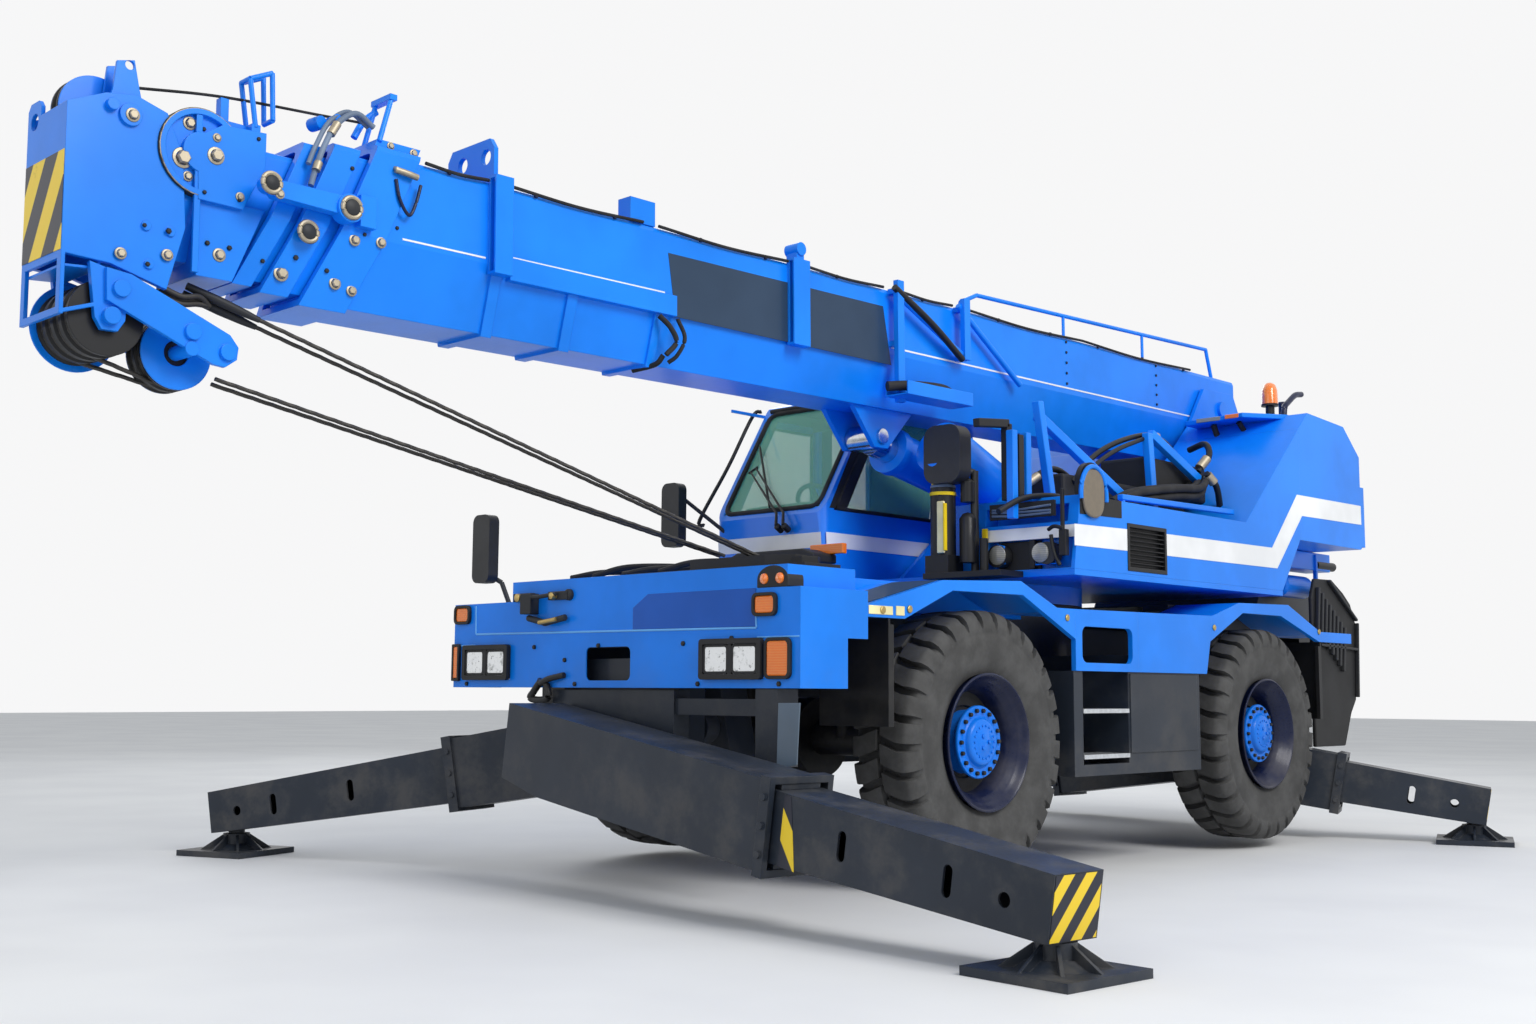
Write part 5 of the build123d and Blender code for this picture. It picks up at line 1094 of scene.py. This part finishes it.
# turns of rope in the sheaves' grooves: one hoop on the single sheave, two to a groove on the others
grooves = [(x + shift, -8712, -650) for x in (-111, -37, 37, 111) for shift in (-9, 9)]
grooves += [(x + shift, -8385, -733) for x in (-30, 30) for shift in (-9, 9)] + [(9, -8740, 190)]
piece("sheave_ropes", "rope_steel", "boom_head", *[hoop(*at, 134, 8.5) for at in grooves], smooth=True)
FLANGES = [(-152, -8712, -650, 30, 176), (64, -8385, -733, 52, 150), (-64, -8385, -733, 30, 150),
           (44, -8740, 190, 30, 150), (-26, -8740, 190, 30, 150)]
piece("sheave_flanges", "blue_paint", "boom_head",
      *[turned(at, LEFT, (0, inner), (0, outer), (8, outer), (8, inner), (0, inner), turns=48, place=on_boom)
        for *at, inner, outer in FLANGES], edge=2)
# the steel guide wheel has a black rubbed rim with a thin bright line
piece("guide_rim", "deep_black", "boom_head",
      turned((190, -8362, 85), LEFT, (-52, 176), (-52, 186), (4, 186), (4, 176), turns=56, place=on_boom), smooth=True)
piece("guide_line", "worn_steel", "boom_head", hoop(196, -8362, 85, 181, 3.2), smooth=True)
piece("rope_run", "rope_steel", "boom_head",
      *[rope(on_boom((x, -8712, -788)), on_boom((x * 0.3, -8385, -871))) for x in (-111, 37)], smooth=True)
piece("rope_ends", "rope_steel", "boom_head",
      *[boom_hose(12, (100 + dx, -8480, -495 + dz), (110 + dx, -8400, -520 + dz), (95 + dx, -8320, -505 + dz),
                  (90, -8260, -520)) for dx, dz in ((0, 0), (24, 10), (-22, 6), (10, -18))], smooth=True)
print("head fittings", count)

# %% [markdown]
# ## Along the boom
# Hoses run down the left side from the straps to the tray above the cab, clips hold them, and two stays run between
# the side frames.

# %% Along the boom
piece("side_stay", "black_steel", "boom_base",
      boom_hose(21, (318, -4049, 262), (330, -3700, 90), (318, -3382, -84), steps=4), smooth=True)
piece("long_stay", "blue_paint", "boom_base",
      boom_hose(19, (300, -3394, 262), (300, -3060, 50), (300, -2732, -158), steps=4), smooth=True)
# from and to along the boom, and how far the hose sags between
EDGE_HOSES = [(-7330, -6980, 6), (-6860, -6010, 10), (-5900, -4920, 12), (-4780, -4080, 8), (-3900, -3400, 6),
              (-3260, -1900, 14), (-1900, -400, 14)]
piece("edge_hoses", "black_rubber", "boom_base",
      *[boom_hose(9, (258, y0, 268), (262, (y0 + y1) / 2, 262 - sag), (258, y1, 268), sides=8, steps=10)
        for y0, y1, sag in EDGE_HOSES], smooth=True)
piece("rib_hoses", "black_rubber", "boom_base",
      boom_hose(14, (268, -5905, -205), (292, -5850, -260), (285, -5800, -330), (262, -5850, -400)),
      boom_hose(14, (240, -5850, -400), (200, -5870, -445), (60, -5900, -462)),
      boom_hose(11, (262, -5770, -200), (285, -5740, -300), (262, -5770, -390), (222, -5800, -430)), smooth=True)
clips = [(253, y, 255) for y in (-7200, -6700, -6200, -5600, -5100, -4500, -3700, -2900, -2300, -1700, -1100, -500)]
piece("boom_clips", "dark_blue_paint", "boom_base", studs(on_boom(clips), LEFT, 13, 12),
      *[studs(on_boom([(251, y, z) for z in np.linspace(-60, 230, 5)]), LEFT, 10, 8) for y in (-3269, -2100, -900)])
piece("tray_hoses", "black_rubber", "boom_base",
      boom_hose(30, (330, -4140, -352), (400, -4000, -340), (440, -3760, -335), (380, -3560, -345)), smooth=True)
print("boom dressed")

# %% [markdown]
# ## Machinery bay
# Between the left cover and the counterweight stand a post with its braces, the hose bundle that climbs from the cover
# to the winch, and the valve pipes. The posts are square bars, and the hoses are tubes on smooth paths.

# %% Machinery bay
piece("bay_posts", "blue_paint", "upper",
      bar(55, 50, (860, 1140, 2740), (900, 1215, 2100)), bar(60, 50, (840, 1160, 2660), (940, 2180, 2130)),
      bar(60, 50, (860, 2440, 2700), (920, 2960, 2440)), bar(60, 50, (860, 2410, 2700), (900, 2400, 2110)),
      bar(35, 40, (1150, 1576, 2177), (1150, 2980, 2205)), bar(30, 30, (1150, 1600, 2100), (1150, 1600, 2190)),
      bar(50, 50, (900, 950, 2110), (900, 950, 2520)), bar(50, 50, (900, 810, 2000), (900, 810, 2520)), edge=5)
piece("bay_strip", "black_steel", "upper", bar(50, 30, (905, 880, 2130), (905, 880, 2500)), edge=3)
piece("bay_duct", "deep_black", "upper",
      bar(50, 50, (800, 600, 2550), (800, 900, 2580)), bar(50, 50, (800, 900, 2580), (800, 900, 2120)), edge=6)
piece("bay_hose_bundle", "black_rubber", "upper",
      *[hose(26, (1000 + dx, 1700, 2130 + dz), (1000 + dx, 1950, 2215 + dz), (980 + dx, 2440, 2290 + dz),
             (950 + dx, 2800, 2330 + dz), (850 + dx, 3060, 2430 + dz), (700, 3300, 2460 + dz))
        for dx, dz in ((0, 0), (50, -20), (-50, 15), (20, 40), (-30, -35), (70, 30))], smooth=True)
piece("bay_pipes", "black_steel", "upper",
      hose(18, (800, 1600, 2300), (800, 1864, 2500), (800, 2230, 2645), (800, 2600, 2710), (750, 2950, 2620)),
      hose(15, (830, 1620, 2280), (840, 1880, 2470), (840, 2240, 2615), (840, 2600, 2690), (800, 3000, 2550)),
      hose(18, (950, 600, 2020), (950, 850, 2120), (1000, 1100, 2150), (1000, 1400, 2130)),
      hose(20, (620, 1200, 2200), (700, 1500, 2380), (720, 1750, 2320), (800, 2000, 2160)),
      hose(22, (900, 3000, 2500), (920, 3120, 2620), (850, 3200, 2720), (700, 3250, 2700)),
      hose(22, (980, 2960, 2480), (1000, 3060, 2400), (980, 3140, 2280), (950, 3200, 2200)), smooth=True)
piece("bay_unions", "worn_steel", "upper",
      hose(34, (900, 3020, 2530), (920, 3090, 2600)), hose(34, (980, 2980, 2470), (1000, 3030, 2420)),
      hose(28, (800, 2570, 2705), (800, 2640, 2710)), hose(30, (640, 1280, 2250), (680, 1400, 2330)), smooth=True)
piece("bay_valve_block", "deep_black", "upper",
      box((450, 1500, 2000), (800, 3000, 2350)), box((500, 2400, 2300), (850, 3200, 2550)), edge=20)
# shelf for the marker lamps behind the bay
piece("marker_shelf", "blue_paint", "upper",
      slab((0, 0, 35), (400, 3740, 2965), (900, 3660, 2965), (1100, 3960, 2965), (1100, 4500, 2965),
           (400, 4500, 2965)), edge=6)
piece("marker_shelf_white", "clear_lens", "upper", box((520, 3690, 2968), (720, 3720, 2998)), edge=4)
piece("marker_shelf_amber", "amber_plastic", "upper", box((760, 3665, 2968), (900, 3700, 2998)), edge=4)
piece("marker_shelf_hoses", "black_rubber", "upper", hose(22, (600, 3800, 2960), (620, 3850, 2800), (650, 3750, 2600)),
      hose(20, (800, 3800, 2960), (820, 3900, 2820), (800, 3800, 2600)), smooth=True)
# arm and pole behind the beacon, and the beacon: amber dome on a dark foot
piece("rear_arm", "dark_blue_paint", "upper",
      hose(22, (1000, 4100, 2950), (1000, 4120, 3080), (1000, 4180, 3130), (1000, 4300, 3200), (1000, 4400, 3220)),
      hose(30, (900, 4300, 2950), (900, 4300, 3160), sides=12, steps=4), smooth=True)
piece("beacon_dome", "amber_plastic", "upper",
      turned((600, 4710, 3235), UP, (0, 62), (110, 58), (150, 45), (168, 22), (172, 0.1), turns=28), smooth=True,
      stands_for=["beacon"])
piece("beacon_foot", "black_steel", "upper",
      turned((600, 4710, 3158), UP, (0, 34), (60, 34), (62, 66), (78, 66), (80, 30), turns=28), smooth=True)
print("bay dressed")

# %% [markdown]
# ## Left cover, deck and rear corner
# Dark plates fill the two openings in the cover's front as painted shade for their shaded inside, with square lamps
# before the lower one. A dark plate of painted shade fills the side opening, which shows a worn oval lamp. Painted
# highlight lines run along the folds of the bumper, a deep blue sheet is a painted shadow on the deck's front, and the
# wing carries a grip patch.

# %% Left cover
# painted shade: dark plates for the shaded inside of the openings and the lamp recess
piece("cover_opening_shade", "deep_black", "upper",
      box((668, 906, 2012), (1118, 930, 2104)), box((690, 965, 1712), (985, 980, 1880)),
      box((930, 930, 1715), (965, 970, 1880)))
piece("cover_coils", "hose_grey", "upper",
      *[hose(7, (690, 902, z0), (850, 900, z0 - 8), (1100, 902, z1), sides=8, steps=6)
        for z0, z1 in ((2035, 2030), (2055, 2045), (2070, 2075))], smooth=True)
piece("cover_square_lamps", "lamp_glass", "upper",
      box((702, 910, 1758), (760, 940, 1842)), box((1000, 910, 1748), (1078, 940, 1822)), edge=10)
piece("cover_lamp_frames", "blue_paint", "upper",
      tube(6, (692, 906, 1800), (725, 906, 1862), (770, 906, 1852), (775, 906, 1750), (700, 906, 1745), sides=8,
           closed=True),
      tube(6, (985, 906, 1835), (1092, 906, 1832), (1130, 906, 1735), (990, 906, 1735), sides=8, closed=True),
      smooth=True)
piece("cover_latch", "black_steel", "upper",
      bar(20, 20, (1190, 885, 2160), (1190, 885, 1900)),
      hose(12, (1090, 890, 1930), (1140, 875, 1945), (1200, 875, 1930)), box((1172, 870, 1775), (1218, 908, 1925)),
      hose(12, (1110, 885, 1900), (1130, 885, 1800), (1170, 885, 1720)), edge=3)
piece("stripe_end", "yellow_paint", "upper", box((612, 904, 1876), (645, 920, 1966)))
# painted shade: a dark plate for the shaded inside of the side opening
piece("side_opening_shade", "deep_black", "upper",
      wall_plate(UP_X, 4, (972, 2018), (972, 2130), (1420, 2130), (1420, 2028)))
# the worn lamp's outline is a rounded square: |cos a| to the power 0.8, |sin a| to the power 0.7
turn = circle(40)
oval = zip(1095 + 112 * np.sign(np.cos(turn)) * abs(np.cos(turn)) ** 0.8,
           2145 + 142 * np.sign(np.sin(turn)) * abs(np.sin(turn)) ** 0.7)
piece("side_oval_lamp", "worn_lens", "upper", wall_plate(UP_X + 4, 20, *oval), edge=12)
piece("side_lamp_bow", "blue_paint", "upper",
      tube(14, *[(UP_X + 18, 1095 + 135 * math.cos(a), 2130 + 172 * math.sin(a))
                 for a in np.linspace(-0.15, np.pi + 0.15, 24)], sides=8), smooth=True)
piece("bay_drum", "blue_paint", "upper",
      turned((420, 720, 2470), (0, 0.93, -0.36), (0, 0.1), (0, 130), (20, 165), (520, 165), (560, 140), (570, 0.1),
             turns=40), smooth=True)
# canister ahead of the cover: label strip, straps and cap
piece("canister_label", "label_cream", "upper", box((448, 676, 1815), (502, 692, 2125)), edge=6)
piece("canister_label_edge", "yellow_paint", "upper", box((498, 674, 1830), (508, 700, 2110)),
      turned((430, 765, 2165), UP, (0, 80), (20, 80), turns=32),
      turned((400, 740, 2212), UP, (0, 30), (30, 30), (35, 1), turns=20))
piece("canister_cap", "hose_grey", "upper",
      turned((430, 765, 2212.2), UP, (0, 78), (15, 74), (30, 50), (50, 45), (55, 1), turns=32), smooth=True)
piece("canister_pots", "black_steel", "upper",
      turned((585, 800, 1760), UP, (0, 1), (0, 50), (260, 50), (290, 30), (300, 1)),
      turned((585, 800, 2120), UP, (0, 1), (0, 42), (120, 42), (140, 20), (150, 1)), smooth=True)
# bumper folds: painted highlight, thin bright blue tubes along the shelf line and up both corner posts
piece("bumper_fold_highlights", "bright_blue", "carrier",
      *[tube(radius, *ends, sides=8) for radius, *ends in (
          (6, (-1120, -1481, 1304), (1055, -1481, 1290)), (5, (-1125, -1481, 1304), (-1130, -1481, 1462)),
          (5, (1055, -1481, 1290), (1050, -1481, 1352)), (4, (-1325, -1480, 1242), (-1130, -1480, 1244)),
          (4, (1060, -1481, 1246), (1325, -1481, 1246)))], smooth=True)
# painted shadow: a deep blue sheet where shade falls on the deck's front
piece("deck_front_shadow", "deep_blue", "carrier",
      slab((0, -1.5, 0), (190, -1480.5, 1302), (1050, -1480.5, 1296), (1050, -1480.5, 1475), (300, -1480.5, 1475),
           (190, -1480.5, 1410)))
# wing: grip patch on the slope, the reflectors at its tip and the bolts along its edge
WING_SLOPE = 0.24915
piece("wing_grip", "slate_panel", "carrier",
      slab((0, 0, 3), *[(x, y, 1412.5 + (y + 1004) * WING_SLOPE)
                        for x, y in ((1000, -950), (1296, -950), (1296, -420), (1000, -420))]))
piece("wing_reflector", "label_cream", "carrier",
      box((1329, -1000, 1366), (1334, -820, 1408)), box((1329, -795, 1366), (1334, -730, 1412)), edge=2)
wing_bolts = [(1334, -900, 1388), (1331, -690, 1400), (1331, 700, 1410), (1331, 2360, 1410), (1331, 3845, 1430)]
piece("wing_bolts", "brass", "carrier", studs(mm(wing_bolts), LEFT, 19, 8, 10))
# rear corner: dark guard behind the rear wing, box and exhaust under the counterweight
piece("rear_guard", "deep_black", "carrier",
      wall_plate(1020, 30, (4360, 620), (4360, 1700), (4425, 1845), (4710, 1850), (4900, 1760), (5020, 1680),
                 (5100, 1540), (5105, 1270), (5070, 960), (4980, 860), (4860, 620)), edge=10)
piece("rear_guard_ribs", "cast_steel", "carrier",
      *[bar(30, 30, (1065, 4440 + 60 * k, 1780 - 40 * k), (1065, 4400 + 60 * k, 1450 - 40 * k)) for k in range(8)],
      bar(20, 30, (1065, 4620, 1840), (1065, 5080, 1560)), bar(20, 30, (1065, 5090, 1540), (1065, 5060, 980)),
      bar(20, 30, (1065, 4440, 1360), (1065, 5080, 1340)), edge=6)
piece("rear_under_box", "blue_paint", "upper",
      box((700, 4000, 1930), (900, 5020, 2065)),
      turned((820, 4280, 1800), (0, 1, 0), (0, 1), (0, 70), (30, 85), (420, 85), (450, 70), (450, 1), turns=28),
      bar(30, 30, (900, 4760, 2050), (900, 4760, 1710)), edge=6)
piece("exhaust", "black_steel", "upper",
      turned((880, 4800, 1975), (0, 1, 0), (0, 1), (0, 34), (300, 34), (300, 28), (50, 27), (50, 1)), smooth=True)
# jack guard: a sloping plate whose bright face is painted light, a paler copy of the slate paint
piece("jack_plate", "light_slate", "carrier",
      slab((0, -6, 0), (1190, -1470, 944), (1325, -1470, 945), (1325, -1490, 668), (1200, -1490, 644)), edge=2)
print("left side dressed")

# %% [markdown]
# ## Floor and room
# A pale floor and a pale room. The room gives soft light at one strength, and the camera, reflections and see-through
# parts see it at another, so that it looks like a bright wall.

# %% Floor and room
FLOOR_HALF = 60
ROOM_LIGHT, ROOM_SEEN = 0.5, 0.93


def plain_floor():
    f = Finish("pale_floor")
    f.set(Base_Color=clouded(f, 0.6, 3, 0.55, 0.3, 0.7, srgb(226, 227, 229), srgb(234, 235, 236)),
          Roughness=f.noise(4, 3) * 0.1 + 0.6)
    mesh = bpy.data.meshes.new("floor")
    mesh.from_pydata([(x * FLOOR_HALF, y * FLOOR_HALF, 0) for x, y in ((-1, -1), (1, -1), (1, 1), (-1, 1))], [],
                     [(0, 1, 2, 3)])
    mesh.materials.append(f.material)
    floor = new_object("floor", mesh)


def pale_room():
    """The world gives soft light, and shows as a pale wall to the camera and in reflections."""
    world = bpy.data.worlds.new("room")
    room = Nodes(world)
    camera_ray, glossy, through = (room.add("ShaderNodeLightPath", out=f"Is {kind} Ray")
                                   for kind in ("Camera", "Glossy", "Transmission"))
    seen = camera_ray.maths("MAXIMUM", glossy).maths("MAXIMUM", through)
    lit = room.add("ShaderNodeBackground", {}, {0: (0.92, 0.96, 1.0), 1: ROOM_LIGHT})
    wall = room.add("ShaderNodeBackground", {}, {0: (ROOM_SEEN, ROOM_SEEN, ROOM_SEEN * 1.005), 1: 1.0})
    shown = room.add("ShaderNodeMixShader", {}, {0: seen, 1: lit, 2: wall})
    room.add("ShaderNodeOutputWorld", {}, {0: shown})
    bpy.context.scene.world = world


plain_floor()
pale_room()
print("floor and room ready")

# %% [markdown]
# ## End

# %% End
print("script finished")
